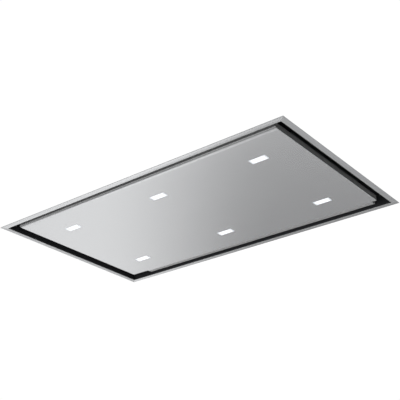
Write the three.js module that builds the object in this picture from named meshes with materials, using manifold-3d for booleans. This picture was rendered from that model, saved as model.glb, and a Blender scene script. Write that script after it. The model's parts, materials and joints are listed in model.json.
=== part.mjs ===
// A ceiling range hood, 1200 x 700 mm, with a hinged perimeter-suction panel and six LED lamps.
// Millimetres, +Z up. The origin is the centre of the visible underside: z = 0 is the underside of
// the trim frame, +X runs along the long side, and the panel's hinge is on the +Y side.
import * as THREE from "three";
import { mergeVertices } from "three/addons/utils/BufferGeometryUtils.js";
import Module from "manifold-3d";

const wasm = await Module();
wasm.setup();

// ---------------------------------------------------------------- driving dimensions

const FRAME_LENGTH = 1200;
const FRAME_WIDTH = 700;
const FLANGE = 19.4; // visible width of the trim frame
const SHEET = 1.5; // sheet thickness of every folded part
const HEM = 8; // width of the flange's folded-back edge
const GAP = 0.3; // clearance between parts that touch
const LIP_HEIGHT = 34; // upstand of the trim frame inside the cabinet
const CABINET_TOP = 108; // top face of the cabinet
const SKIRT_BOTTOM = 4; // lower edge of the black skirt round the air gap
const TRAY_BOTTOM = 46; // underside of the plate that carries the filters

const PANEL_LENGTH = 1094;
const PANEL_FLAT_WIDTH = 588; // between the two rolled edges
const PANEL_BOTTOM = 3.5;
const NOSE = { radius: 34, angle: Math.PI / 10 }; // the gentle first bend of the long edges
const NOSE_REACH = 14; // of the long edges past the flat
const PANEL_WALL_TOP = 22; // top of the long edges' walls
const PANEL_END_HEIGHT = 15; // height of the square end flanges
const REAR_RELIEF = { left: 76, right: 18, depth: 4 }; // cut off the rear edge's two corners

const LAMP_PITCH_X = 402;
const LAMP_Y = 184;
const LENS = [60, 25]; // lit window, along X and Y
const LENS_FACE = 3.3; // its lower face, a hair proud of the panel

const HINGE_X = 400;
const HINGE_Y = 297; // pin of the panel's hinges
const HINGE_Z = 26;
const HINGE_PIN_R = 3;

const CATCH_X = 300;
const CATCH_Y = -270;
const CATCH_Z = 35; // height of the sprung plunger

const FILTER_PITCH = 362;
const FILTER = [340, 400]; // outer size of one grease filter
const FILTER_Z = [39, 52];
const FILTER_RAIL = 18;
const LATCH_RAIL = 45; // the wide rail that holds the latch
const GROOVE = 3; // depth of the groove that holds the mesh pad
const LATCH_TRAVEL = 9;

const MOTOR_BOX = [480, 420]; // along X and Y
const HOOD_TOP = 299;
const FAN_X = -60; // axis of the blower
const FAN_Y = -30;
const IMPELLER_R = 105;
const IMPELLER_Z = [130, 240];
const SCROLL_Z = [CABINET_TOP + SHEET + 2 * GAP, 260];
const SCROLL_R = [112, 165]; // at the tongue and at the outlet
const INLET_R = 85;

const DUCT_Y = 90; // axis of the round outlet, which points to +X
const DUCT_Z = 190;
const DUCT_R = 75; // 150 mm duct
const DUCT_LENGTH = 60;
const SPINDLE_R = 2;

const THROUGH = [-500, 500]; // reach of a cutter that goes right through a piece

// ---------------------------------------------------------------- materials

const finish = (color, roughness, metalness) =>
  new THREE.MeshStandardMaterial({ color, roughness, metalness });

const brushedSteel = finish(0xc4c6c8, 0.32, 1);
const galvanised = finish(0xb4b9bc, 0.5, 0.9);
const blackEnamel = finish(0x17181a, 0.5, 0.2);
const aluminium = finish(0xc9ccce, 0.4, 1);
const blackPlastic = finish(0x1c1d1f, 0.55, 0);
const greyPlastic = finish(0x8f9499, 0.55, 0);
const brightSteel = finish(0xd0d2d4, 0.25, 1);
const opalGlass = new THREE.MeshStandardMaterial({
  color: 0xffffff,
  roughness: 0.4,
  emissive: 0xf4f8ff,
});

// ---------------------------------------------------------------- solids

// A closed three.js geometry as a solid that can be cut and joined.
function solid(geometry) {
  const bare = (geometry.index ? geometry.toNonIndexed() : geometry).clone();
  bare.deleteAttribute("normal");
  bare.deleteAttribute("uv");
  const merged = mergeVertices(bare, 1e-4);
  return new wasm.Manifold(
    new wasm.Mesh({
      numProp: 3,
      vertProperties: merged.attributes.position.array,
      triVerts: new Uint32Array(merged.index.array),
    }),
  );
}

function geometryOf(made) {
  const mesh = made.getMesh();
  const geometry = new THREE.BufferGeometry();
  geometry.setAttribute(
    "position",
    new THREE.BufferAttribute(new Float32Array(mesh.vertProperties), 3),
  );
  geometry.setIndex(new THREE.BufferAttribute(new Uint32Array(mesh.triVerts), 1));
  geometry.computeVertexNormals();
  return geometry;
}

const join = (...solids) => solids.reduce((all, next) => all.add(next));
const cut = (from, ...tools) => tools.reduce((left, tool) => left.subtract(tool), from);

// A box from its low and high values on each axis.
function block([x0, x1], [y0, y1], [z0, z1]) {
  const box = new THREE.BoxGeometry(x1 - x0, y1 - y0, z1 - z0);
  return solid(box.translate((x0 + x1) / 2, (y0 + y1) / 2, (z0 + z1) / 2));
}

// A box that is centred on X and Y.
const slab = (length, width, z) => block([-length / 2, length / 2], [-width / 2, width / 2], z);

// A rectangular tube, centred on X and Y, from its outer size and wall.
const sleeve = (length, width, wall, z) =>
  cut(
    slab(length, width, z),
    slab(length - 2 * wall, width - 2 * wall, [z[0] - 1, z[1] + 1]),
  );

// A cylinder along an axis, from its low to its high value there, and centred at two other values.
function rod(axis, radius, [low, high], [a, b], sides = 32) {
  const cylinder = new THREE.CylinderGeometry(radius, radius, high - low, sides);
  const middle = (low + high) / 2;
  if (axis === "x") return solid(cylinder.rotateZ(Math.PI / 2).translate(middle, a, b));
  if (axis === "y") return solid(cylinder.translate(a, middle, b));
  return solid(cylinder.rotateX(Math.PI / 2).translate(a, b, middle));
}

// An outline in the Y-Z plane, extruded along X from the low to the high value.
function barAlongX(shape, [low, high], curveSegments = 8) {
  const bar = new THREE.ExtrudeGeometry(shape, {
    depth: high - low,
    bevelEnabled: false,
    curveSegments,
  });
  // the outline's first axis becomes Y, its second Z, and its depth X
  bar.applyMatrix4(new THREE.Matrix4().set(0, 0, 1, low, 1, 0, 0, 0, 0, 1, 0, 0, 0, 0, 0, 1));
  return solid(bar);
}

// An outline in the X-Y plane, extruded up from the low to the high value.
function plate(shape, [low, high], curveSegments = 12) {
  const made = new THREE.ExtrudeGeometry(shape, {
    depth: high - low,
    bevelEnabled: false,
    curveSegments,
  });
  return solid(made.translate(0, 0, low));
}

function polygon(points) {
  return new THREE.Shape(points.map(([x, y]) => new THREE.Vector2(x, y)));
}

const hood = new THREE.Group();

// Adds a named mesh of a solid to a group.
function add(group, name, material, made, [x, y, z] = [0, 0, 0]) {
  const mesh = new THREE.Mesh(geometryOf(made), material);
  mesh.name = name;
  mesh.position.set(x, y, z);
  group.add(mesh);
  return mesh;
}

const SIDES = [
  ["left", -1],
  ["right", 1],
];

// ---------------------------------------------------------------- trim frame and cabinet

const OPENING = [FRAME_LENGTH - 2 * FLANGE, FRAME_WIDTH - 2 * FLANGE];
const LIP_OUTER = OPENING.map((size) => size + 2 * SHEET);
const CABINET = LIP_OUTER.map((size) => size + 2 * (GAP + SHEET));
const INTAKE_MARGIN = 7; // of the cabinet's intake round the blower's mouth
const END_FLANGE = 16; // on each cabinet end, welded under the top sheet

// The stainless frame seen on the ceiling: a flat flange with a folded-back outer edge and an
// upstand that goes up inside the cabinet.
function trimFrame() {
  const flange = cut(
    slab(FRAME_LENGTH, FRAME_WIDTH, [0, SHEET]),
    slab(...OPENING, [-1, SHEET + 1]),
  );
  const foldedEdge = sleeve(FRAME_LENGTH, FRAME_WIDTH, HEM, [0, 2 * SHEET]);
  const upstand = sleeve(...LIP_OUTER, SHEET, [0, LIP_HEIGHT]);
  return join(flange, foldedEdge, upstand);
}

// The cabinet's top and two long sides, folded from one sheet, with the blower's intake.
function cabinetShell() {
  const outside = slab(...CABINET, [SHEET + GAP, CABINET_TOP]);
  const inside = slab(CABINET[0] + 2, CABINET[1] - 2 * SHEET, [0, CABINET_TOP - SHEET]);
  const intake = rod("z", INLET_R + INTAKE_MARGIN, THROUGH, [FAN_X, FAN_Y], 48);
  return cut(outside, inside, intake);
}

// One end of the cabinet, with the flange along its top.
function cabinetEnd(side) {
  const outer = CABINET[0] / 2;
  const reach = CABINET[1] / 2 - SHEET - GAP;
  const top = CABINET_TOP - SHEET - GAP;
  const sheet = block([outer - SHEET, outer], [-reach, reach], [SHEET + GAP, top]);
  const flange = block([outer - END_FLANGE, outer], [-reach, reach], [top - SHEET, top]);
  const made = join(sheet, flange);
  return side > 0 ? made : made.rotate([0, 0, 180]);
}

const HANGER_AT = [500, 285];
const HANGER_FOOT = 44;
const HANGER_WIDTH = 40;
const HANGER_HEIGHT = 60;
const HANGER_REACH = 60; // of the top tab, from the foot's middle
const HANGER_STEEL = 2.5;
const ROD_SLOT = { x: -38, radius: 4.5, shift: 5 }; // a 9 x 19 mm slot for an M8 rod

// Z-shaped bracket for a threaded rod, standing on the cabinet's top.
function hangerBracket() {
  const sides = [-HANGER_WIDTH / 2, HANGER_WIDTH / 2];
  const back = -HANGER_FOOT / 2;
  const underTab = HANGER_HEIGHT - HANGER_STEEL;
  const foot = block([back, -back], sides, [0, HANGER_STEEL]);
  const upright = block([back, back + HANGER_STEEL], sides, [0, HANGER_HEIGHT]);
  const tab = block([-HANGER_REACH, back + HANGER_STEEL], sides, [underTab, HANGER_HEIGHT]);
  const { x, radius, shift } = ROD_SLOT;
  const slot = join(
    rod("z", radius, THROUGH, [x, -shift], 24),
    rod("z", radius, THROUGH, [x, shift], 24),
    block([x - radius, x + radius], [-shift, shift], THROUGH),
  );
  return join(foot, upright, cut(tab, slot));
}

const body = new THREE.Group();
hood.add(body);
add(body, "ceiling_frame", brushedSteel, trimFrame());
add(body, "cabinet_shell", galvanised, cabinetShell());
for (const [word, side] of SIDES)
  add(body, `cabinet_end_${word}`, galvanised, cabinetEnd(side));
for (const [word, side] of SIDES)
  for (const [row, sign] of [
    ["front", -1],
    ["rear", 1],
  ]) {
    const bracket = add(body, `hanger_bracket_${word}_${row}`, galvanised, hangerBracket());
    bracket.position.set(side * HANGER_AT[0], sign * HANGER_AT[1], CABINET_TOP + GAP);
    if (side > 0) bracket.rotation.z = Math.PI;
  }

// ---------------------------------------------------------------- suction tray and grease filters

const TRAY = OPENING.map((size) => size - 2 * GAP);
const FILTER_XS = [-FILTER_PITCH, 0, FILTER_PITCH];
const FILTER_SLACK = 2; // round each filter in its opening

// The black inner tray: a plate with three filter openings and a skirt down to the frame.
function suctionTray() {
  const skirt = sleeve(...TRAY, SHEET, [SKIRT_BOTTOM, TRAY_BOTTOM + SHEET]);
  const sheet = slab(...TRAY, [TRAY_BOTTOM, TRAY_BOTTOM + SHEET]);
  const [halfX, halfY] = FILTER.map((size) => size / 2 + FILTER_SLACK);
  const openings = FILTER_XS.map((x) => block([x - halfX, x + halfX], [-halfY, halfY], THROUGH));
  return cut(join(skirt, sheet), ...openings);
}

const LATCH_WALL = 8; // of the rail, in front of the latch's pocket
const LATCH_WIDTH = 48;
const LATCH_LENGTH = 22; // of its slider, inside the pocket
const TONGUE_WIDTH = 24;
const TONGUE_REACH = 8; // over the tray's edge
const TONGUE_Z = [TRAY_BOTTOM + SHEET + GAP, TRAY_BOTTOM + SHEET + GAP + 2];
const POCKET_Y = [
  -FILTER[1] / 2 + LATCH_WALL,
  -FILTER[1] / 2 + LATCH_WALL + LATCH_LENGTH + LATCH_TRAVEL + 2 * GAP,
];
const PEG = { x: 120, radius: 2, reach: 9 };
const MESH_Z = [FILTER_Z[0] + 2, FILTER_Z[1] - 3];

// The filter's window, wider by the given amount on each side.
function filterWindow(extra, z) {
  const reach = FILTER[0] / 2 - FILTER_RAIL + extra;
  const front = -FILTER[1] / 2 + LATCH_RAIL - extra;
  const rear = FILTER[1] / 2 - FILTER_RAIL + extra;
  return block([-reach, reach], [front, rear], z);
}

// An aluminium filter frame with two fixed pegs behind and a pocket for the latch in front.
function filterFrame() {
  const halfPocket = LATCH_WIDTH / 2 + 2 * GAP;
  const halfSlot = TONGUE_WIDTH / 2 + GAP;
  const pocket = block([-halfPocket, halfPocket], POCKET_Y, THROUGH);
  const slot = block(
    [-halfSlot, halfSlot],
    [-FILTER[1] / 2 - 1, POCKET_Y[0] + 1],
    [TONGUE_Z[0] - GAP, TONGUE_Z[1] + GAP],
  );
  const groove = filterWindow(GROOVE, [MESH_Z[0] - GAP, MESH_Z[1] + GAP]);
  const pegZ = TONGUE_Z[0] + PEG.radius;
  const rear = FILTER[1] / 2;
  const pegs = [-PEG.x, PEG.x].map((x) =>
    rod("y", PEG.radius, [rear - 4, rear + PEG.reach], [x, pegZ], 16),
  );
  const ring = cut(slab(...FILTER, FILTER_Z), filterWindow(0, THROUGH), groove, pocket, slot);
  return join(ring, ...pegs);
}

// The pad of expanded aluminium mesh, as the flat block that it fills, held in the frame's groove.
const filterMesh = () => filterWindow(GROOVE - GAP, MESH_Z);

const FINGER_WIDTH = 38;
const FINGER_RECESS = [5, 19]; // from the slider's front edge
const FINGER_TAB = 2.5; // thickness of the tab at the recess's rear
const FINGER_DROP = 3; // of the tab, below the filter

// The sliding latch: a tongue over the tray's edge, and a finger tab below.
function filterLatch() {
  const front = POCKET_Y[0] + GAP;
  const under = FILTER_Z[0];
  const finger = [-FINGER_WIDTH / 2, FINGER_WIDTH / 2];
  const [recessFront, recessRear] = FINGER_RECESS.map((y) => front + y);
  const slider = block(
    [-LATCH_WIDTH / 2, LATCH_WIDTH / 2],
    [front, front + LATCH_LENGTH],
    [under + 3, TONGUE_Z[1]],
  );
  const tongue = block(
    [-TONGUE_WIDTH / 2, TONGUE_WIDTH / 2],
    [-FILTER[1] / 2 - TONGUE_REACH, front + 2],
    TONGUE_Z,
  );
  const recess = block(finger, [recessFront, recessRear], [0, under + 6]);
  const tab = block(finger, [recessRear - 2, recessRear - 2 + FINGER_TAB], [under - FINGER_DROP, under + 8]);
  return join(cut(slider, recess), tongue, tab);
}

add(body, "suction_tray", blackEnamel, suctionTray());
FILTER_XS.forEach((x, i) => {
  add(body, `filter_frame_${i + 1}`, aluminium, filterFrame(), [x, 0, 0]);
  add(body, `filter_mesh_${i + 1}`, aluminium, filterMesh(), [x, 0, 0]);
  add(body, `filter_latch_${i + 1}`, blackPlastic, filterLatch(), [x, 0, 0]);
});

// ---------------------------------------------------------------- the hinged panel and its lamps

const BEND_R = (NOSE_REACH - NOSE.radius * Math.sin(NOSE.angle)) / (1 - Math.sin(NOSE.angle));
const PANEL_FLOOR = PANEL_BOTTOM + SHEET;
const LAMPS = [-1, 0, 1].flatMap((column) => [
  [column * LAMP_PITCH_X, -LAMP_Y],
  [column * LAMP_PITCH_X, LAMP_Y],
]);

// Traces one long edge's outer face (inset 0) or inner face, from the flat to the wall (or back, for
// side -1): a gentle bend, a tighter one and the wall up to its top.
function traceEdge(outline, side, inset, top) {
  const flatEnd = PANEL_FLAT_WIDTH / 2;
  const noseZ = PANEL_BOTTOM + NOSE.radius;
  const shift = NOSE.radius - BEND_R;
  const bend = [flatEnd + shift * Math.sin(NOSE.angle), noseZ - shift * Math.cos(NOSE.angle)];
  const down = -Math.PI / 2;
  const arcs = [
    [flatEnd, noseZ, NOSE.radius - inset, down, down + NOSE.angle],
    [...bend, BEND_R - inset, down + NOSE.angle, 0],
  ];
  const wall = side * (flatEnd + NOSE_REACH - inset);
  if (side > 0) {
    for (const [y, z, radius, from, to] of arcs) outline.absarc(y, z, radius, from, to, false);
    outline.lineTo(wall, top);
  } else {
    outline.lineTo(wall, top);
    for (const [y, z, radius, from, to] of arcs.reverse())
      outline.absarc(-y, z, radius, Math.PI - to, Math.PI - from, false);
  }
}

// The panel's section across the hood, closed over the top at a height, as one solid outline.
function panelOutline(inset, top) {
  const outline = new THREE.Shape();
  outline.moveTo(-PANEL_FLAT_WIDTH / 2 - NOSE_REACH + inset, top);
  traceEdge(outline, -1, inset, top);
  traceEdge(outline, 1, inset, top);
  outline.closePath();
  return outline;
}

// The panel: one sheet with curved long edges, closed by square end flanges, with six windows.
function perimeterPanel() {
  const half = PANEL_LENGTH / 2;
  const endTop = PANEL_BOTTOM + PANEL_END_HEIGHT;
  const pan = cut(
    barAlongX(panelOutline(0, PANEL_WALL_TOP), [-half, half]),
    barAlongX(panelOutline(SHEET, PANEL_WALL_TOP + 1), [-half - 1, half + 1]),
  );
  const ends = [
    [-half, -half + SHEET],
    [half - SHEET, half],
  ].map((across) => barAlongX(panelOutline(0, endTop), across));
  const { left, right, depth } = REAR_RELIEF;
  const rear = [PANEL_FLAT_WIDTH / 2 - depth, PANEL_FLAT_WIDTH / 2 + NOSE_REACH + 1];
  const reliefs = [
    block([-half - 1, -half + left], rear, THROUGH),
    block([half - right, half + 1], rear, THROUGH),
  ];
  const windows = LAMPS.map(([x, y]) =>
    block(
      [x - LENS[0] / 2 - GAP, x + LENS[0] / 2 + GAP],
      [y - LENS[1] / 2 - GAP, y + LENS[1] / 2 + GAP],
      THROUGH,
    ),
  );
  return cut(join(pan, ...ends), ...reliefs, ...windows);
}

const LENS_RIM = 4; // round the window, on the panel's floor
const RIM_Z = [PANEL_FLOOR + GAP, PANEL_FLOOR + GAP + SHEET];
const HOUSING = [86, 46];
const HOUSING_BASE_TOP = 15;
const HOUSING_TOP = 23;
const FINS = { count: 7, length: 80, pitch: 6.5, thickness: 2 };

// An opal lens that stands in its window, with a rim that rests on the panel.
function ledLens() {
  const rim = slab(LENS[0] + 2 * LENS_RIM, LENS[1] + 2 * LENS_RIM, RIM_Z);
  return join(slab(...LENS, [LENS_FACE, RIM_Z[1]]), rim);
}

// The lamp's aluminium housing, with cooling fins along its top.
function lampHousing() {
  const base = slab(...HOUSING, [RIM_Z[1] + GAP, HOUSING_BASE_TOP]);
  const fins = Array.from({ length: FINS.count }, (_, i) => {
    const y = (i - (FINS.count - 1) / 2) * FINS.pitch;
    const across = [y - FINS.thickness / 2, y + FINS.thickness / 2];
    return block([-FINS.length / 2, FINS.length / 2], across, [HOUSING_BASE_TOP - 1, HOUSING_TOP]);
  });
  return join(base, ...fins);
}

const panel = new THREE.Group();
hood.add(panel);
add(panel, "perimeter_panel", brushedSteel, perimeterPanel());
LAMPS.forEach(([x, y], i) => {
  add(panel, `led_lens_${i + 1}`, opalGlass, ledLens(), [x, y, 0]);
  add(panel, `lamp_housing_${i + 1}`, aluminium, lampHousing(), [x, y, 0]);
});

// ---------------------------------------------------------------- hinges and catches

// Each piece below is drawn round the pin, or round the plunger's axis.
const HINGE_PLATE = 2;
const EAR = { from: 16.5, thickness: 2.5, y: [-10, 2], radius: 7 };
const BRACKET_BASE = { halfLength: 22, y: [-26, 8] };
const LEAF = { halfLength: 15, front: -45, rear: -4, riser: 2.5, knuckle: 5.5 };
const PIN = { halfLength: 21, head: 2 };
const pinHole = () => rod("x", HINGE_PIN_R + GAP, THROUGH, [0, 0], 24);

// The fixed half of a hinge: a base under the tray and two ears down to the pin.
function hingeBracket() {
  const top = TRAY_BOTTOM - GAP - HINGE_Z;
  const { halfLength, y } = BRACKET_BASE;
  const base = block([-halfLength, halfLength], y, [top - HINGE_PLATE, top]);
  const ears = [EAR.from, -EAR.from - EAR.thickness].map((x) => {
    const across = [x, x + EAR.thickness];
    return join(block(across, EAR.y, [0, top - 1]), rod("x", EAR.radius, across, [0, 0], 24));
  });
  return cut(join(base, ...ears), pinHole());
}

// The moving half: a leaf on the panel's floor, a riser and a knuckle round the pin.
function hingeLeaf() {
  const floor = PANEL_FLOOR + GAP - HINGE_Z;
  const along = [-LEAF.halfLength, LEAF.halfLength];
  const leaf = block(along, [LEAF.front, LEAF.rear], [floor, floor + HINGE_PLATE]);
  const riser = block(along, [LEAF.rear - LEAF.riser, LEAF.rear], [floor, 0]);
  return cut(join(leaf, riser, rod("x", LEAF.knuckle, along, [0, 0], 24)), pinHole());
}

function hingePin() {
  const end = PIN.halfLength;
  return join(
    rod("x", HINGE_PIN_R, [-end, end], [0, 0], 24),
    rod("x", HINGE_PIN_R + PIN.head, [end, end + PIN.head], [0, 0], 24),
  );
}

const CATCH = { halfLength: 21, y: [-17, 12], bottom: -8, roof: 2 };
const STRIKER_SLOT = { halfLength: 10, halfWidth: 2.5 };
const PLUNGER = { radius: 4, length: 12.5 };
const STRIKER = { halfLength: 8, halfWidth: 1, top: 5.5, foot: [30, 21] };

// The plastic catch under the tray: a slot for the striker and a bore for the plunger.
function catchHousing() {
  const top = TRAY_BOTTOM - GAP - CATCH_Z;
  const outside = block([-CATCH.halfLength, CATCH.halfLength], CATCH.y, [CATCH.bottom, top]);
  const { halfLength, halfWidth } = STRIKER_SLOT;
  const underside = [CATCH.bottom - 1, top - CATCH.roof];
  const slot = block([-halfLength, halfLength], [-halfWidth, halfWidth], underside);
  const bore = rod("y", PLUNGER.radius + GAP, [CATCH.y[0] - 1, 0], [0, 0], 24);
  return cut(outside, slot, bore);
}

// The sprung plunger, which presses on the striker with a round nose.
function catchPlunger() {
  const { radius, length } = PLUNGER;
  const profile = [new THREE.Vector2(0, -length), new THREE.Vector2(radius, -length)];
  const steps = 4;
  for (let step = 0; step < steps; step++) {
    const angle = (step / steps) * (Math.PI / 2);
    const height = radius * Math.sin(angle) - radius;
    profile.push(new THREE.Vector2(radius * Math.cos(angle), height));
  }
  profile.push(new THREE.Vector2(0, 0));
  return solid(new THREE.LatheGeometry(profile, 24));
}

// The striker on the panel: a foot and a tongue that goes up into the catch.
function catchStriker() {
  const floor = PANEL_FLOOR + GAP - CATCH_Z;
  const { halfLength, halfWidth, top, foot } = STRIKER;
  const across = [-halfWidth, foot[1] - halfWidth];
  const base = block([-foot[0] / 2, foot[0] / 2], across, [floor, floor + HINGE_PLATE]);
  return join(base, block([-halfLength, halfLength], [-halfWidth, halfWidth], [floor, top]));
}

for (const [word, side] of SIDES) {
  const hinge = [side * HINGE_X, HINGE_Y, HINGE_Z];
  add(body, `hinge_bracket_${word}`, galvanised, hingeBracket(), hinge);
  add(body, `hinge_pin_${word}`, brightSteel, hingePin(), hinge);
  add(panel, `hinge_leaf_${word}`, galvanised, hingeLeaf(), hinge);
  const place = [side * CATCH_X, CATCH_Y, CATCH_Z];
  add(body, `catch_housing_${word}`, blackPlastic, catchHousing(), place);
  const noseY = CATCH_Y - STRIKER.halfWidth - GAP;
  add(body, `catch_plunger_${word}`, brightSteel, catchPlunger(), [place[0], noseY, CATCH_Z]);
  add(panel, `catch_striker_${word}`, galvanised, catchStriker(), place);
}

// ---------------------------------------------------------------- motor box

const BOX_BOTTOM = CABINET_TOP + GAP;
const COVER_UNDERSIDE = HOOD_TOP - SHEET;
const BOX_FOOT = 15; // width of the flange at its foot
const COVER_SKIRT = 20;

// The upper box round the blower, with a flange at its foot and the outlet's hole.
function motorBox() {
  const walls = sleeve(...MOTOR_BOX, SHEET, [BOX_BOTTOM, COVER_UNDERSIDE - GAP]);
  const footSize = MOTOR_BOX.map((size) => size + 2 * BOX_FOOT);
  const foot = sleeve(...footSize, BOX_FOOT + SHEET, [BOX_BOTTOM, BOX_BOTTOM + SHEET]);
  const outlet = rod("x", DUCT_R - 1, [0, THROUGH[1]], [DUCT_Y, DUCT_Z], 48);
  return cut(join(walls, foot), outlet);
}

function motorBoxCover() {
  const size = MOTOR_BOX.map((length) => length + 2 * (GAP + SHEET));
  return join(
    slab(...size, [COVER_UNDERSIDE, HOOD_TOP]),
    sleeve(...size, SHEET, [COVER_UNDERSIDE - COVER_SKIRT, HOOD_TOP]),
  );
}

const upper = new THREE.Group();
hood.add(upper);
add(upper, "motor_box", galvanised, motorBox());
add(upper, "motor_box_cover", galvanised, motorBoxCover());

// ---------------------------------------------------------------- blower

const TONGUE_ANGLE = THREE.MathUtils.degToRad(55);
const SCROLL_TURN = THREE.MathUtils.degToRad(325); // from the tongue round to the outlet
const SCROLL_STEPS = 40;
const MOUTH_GAP = 6; // from the scroll's mouth to the box's wall
const MOUTH_X = MOTOR_BOX[0] / 2 - SHEET - MOUTH_GAP - FAN_X; // from the fan's axis, as below
const MOUTH_Y = [25 - FAN_Y, 155 - FAN_Y];
const MOTOR_HOLE_R = 72;
const MOTOR_R = 50;
const SHAFT_R = 5;

// The scroll's inner face in plan: a spiral that opens into a straight mouth towards +X.
function scrollOutline(extra) {
  const points = [];
  for (let step = 0; step <= SCROLL_STEPS; step++) {
    const part = step / SCROLL_STEPS;
    const radius = SCROLL_R[0] + (SCROLL_R[1] - SCROLL_R[0]) * part + extra;
    const angle = TONGUE_ANGLE - SCROLL_TURN * part;
    points.push([radius * Math.cos(angle), radius * Math.sin(angle)]);
  }
  points.push([MOUTH_X, MOUTH_Y[1] + extra]);
  points.push([MOUTH_X, MOUTH_Y[0] - extra]);
  return polygon(points.reverse());
}

// The scroll: its spiral wall and its upper plate, with the hole that the motor goes through.
function volute() {
  const inside = [SCROLL_Z[0] - 1, SCROLL_Z[1] - SHEET];
  const wall = plate(scrollOutline(SHEET), SCROLL_Z);
  const air = plate(scrollOutline(0), inside);
  const mouth = block([MOUTH_X - 2, MOUTH_X + 2], MOUTH_Y, inside);
  return cut(wall, air, mouth, rod("z", MOTOR_HOLE_R, THROUGH, [0, 0], 40));
}

const INLET_FLANGE = 8; // of the inlet plate, past the scroll
const BELL_TOP = IMPELLER_Z[0] - 3;

// The plate under the scroll, with the bell-shaped mouth that leads air into the impeller.
function inletPlate() {
  const bottom = CABINET_TOP + GAP;
  const sheet = cut(
    plate(scrollOutline(SHEET + INLET_FLANGE), [bottom, bottom + SHEET]),
    rod("z", INLET_R, THROUGH, [0, 0], 48),
  );
  const profile = [
    [INLET_R - 1, bottom],
    [INLET_R + 5, bottom],
    [INLET_R + 3, bottom + SHEET + 3],
    [INLET_R - 1, BELL_TOP],
    [INLET_R - 3, BELL_TOP],
    [INLET_R - 1, bottom],
  ];
  const bell = new THREE.LatheGeometry(profile.map(([r, z]) => new THREE.Vector2(r, z)), 48);
  return join(sheet, solid(bell.rotateX(Math.PI / 2)));
}

const BLADES = 24;
const BLADE_R = [90, 103];
const BLADE_LEAN = 0.11; // how far a blade's outer edge runs ahead, in radians
const BLADE_HALF = 0.008; // half of its thickness, in radians
const RING_HEIGHT = 2.5;
const WEB_Z = [180, 182.5];
const HUB = { radius: 13, z: [168, 190] };

// One forward-curved blade, as an arc-shaped strip.
function blade(turn) {
  const rows = [0, 1 / 2, 1].map((part) => [
    BLADE_R[0] + (BLADE_R[1] - BLADE_R[0]) * part,
    turn - BLADE_LEAN * part * part,
  ]);
  const side = (shift) =>
    rows.map(([radius, angle]) => [
      radius * Math.cos(angle + shift),
      radius * Math.sin(angle + shift),
    ]);
  const outline = [...side(-BLADE_HALF), ...side(BLADE_HALF).reverse()];
  return plate(polygon(outline), [IMPELLER_Z[0] + 1, IMPELLER_Z[1] - 1]);
}

// The impeller's drum: two end rings with the blades between them.
function impellerDrum() {
  const eye = rod("z", BLADE_R[0], THROUGH, [0, 0], 48);
  const [bottom, top] = IMPELLER_Z;
  const rings = [
    [bottom, bottom + RING_HEIGHT],
    [top - RING_HEIGHT, top],
  ].map((z) => cut(rod("z", IMPELLER_R, z, [0, 0], 48), eye));
  const blades = Array.from({ length: BLADES }, (_, i) => blade((i / BLADES) * 2 * Math.PI));
  return join(...rings, ...blades);
}

// The disc that carries the drum by its blades, and its boss on the shaft.
function impellerHub() {
  const web = rod("z", BLADE_R[0] - GAP, WEB_Z, [0, 0], 48);
  const boss = rod("z", HUB.radius, HUB.z, [0, 0], 24);
  return cut(join(web, boss), rod("z", SHAFT_R + GAP, THROUGH, [0, 0], 24));
}

const MOTOR_CAN_Z = [198, 284];
const MOTOR_CAP = { radius: 38, top: 291 };
const SHAFT_Z = [164, 278];
const BRACKET = { ring: 3.5, height: 14, arm: [52, 92], halfWidth: 8, steel: 2.5 };

// The motor hangs through the scroll's upper plate into the drum.
function motor() {
  const can = rod("z", MOTOR_R, MOTOR_CAN_Z, [0, 0], 40);
  const cap = rod("z", MOTOR_CAP.radius, [MOTOR_CAN_Z[1], MOTOR_CAP.top], [0, 0], 40);
  const shaftBore = rod("z", SHAFT_R + GAP, [THROUGH[0], SHAFT_Z[1] + 2], [0, 0], 24);
  return cut(join(can, cap), shaftBore);
}

// Three arms that carry the motor, with feet on the scroll's upper plate.
function motorBracket() {
  const bottom = SCROLL_Z[1] + GAP;
  const ring = cut(
    rod("z", MOTOR_R + BRACKET.ring, [bottom, bottom + BRACKET.height], [0, 0], 40),
    rod("z", MOTOR_R + GAP, THROUGH, [0, 0], 40),
  );
  const across = [-BRACKET.halfWidth, BRACKET.halfWidth];
  const arms = [60, 180, 300].map((degrees) =>
    block(BRACKET.arm, across, [bottom, bottom + BRACKET.steel]).rotate([0, 0, degrees]),
  );
  return join(ring, ...arms);
}

const blower = new THREE.Group();
blower.position.set(FAN_X, FAN_Y, 0);
upper.add(blower);
add(blower, "volute_scroll", galvanised, volute());
add(blower, "volute_inlet_plate", galvanised, inletPlate());
add(blower, "impeller", greyPlastic, impellerDrum());
add(blower, "impeller_hub", galvanised, impellerHub());
add(blower, "motor", blackEnamel, motor());
add(blower, "motor_shaft", brightSteel, rod("z", SHAFT_R, SHAFT_Z, [0, 0], 24));
add(blower, "motor_bracket", galvanised, motorBracket());

// ---------------------------------------------------------------- outlet collar and damper

const COLLAR_X = MOTOR_BOX[0] / 2 + GAP;
const COLLAR_WALL = 2;
const COLLAR_FLANGE = { width: 4, thickness: 2.5 };
const SPINDLE_FROM_FLANGE = 22;
const SPINDLE_HALF = 74;
const SPINDLE_X = COLLAR_X + SPINDLE_FROM_FLANGE;
const FLAP_R = DUCT_R - 4;
const FLAP_HALF = 0.75; // half of its thickness
const FLAP_EDGE = 5.4; // from the spindle to its straight edge
const KNUCKLE = { radius: 4.5, length: 28, pitch: 31, lowest: -61 };

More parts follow.
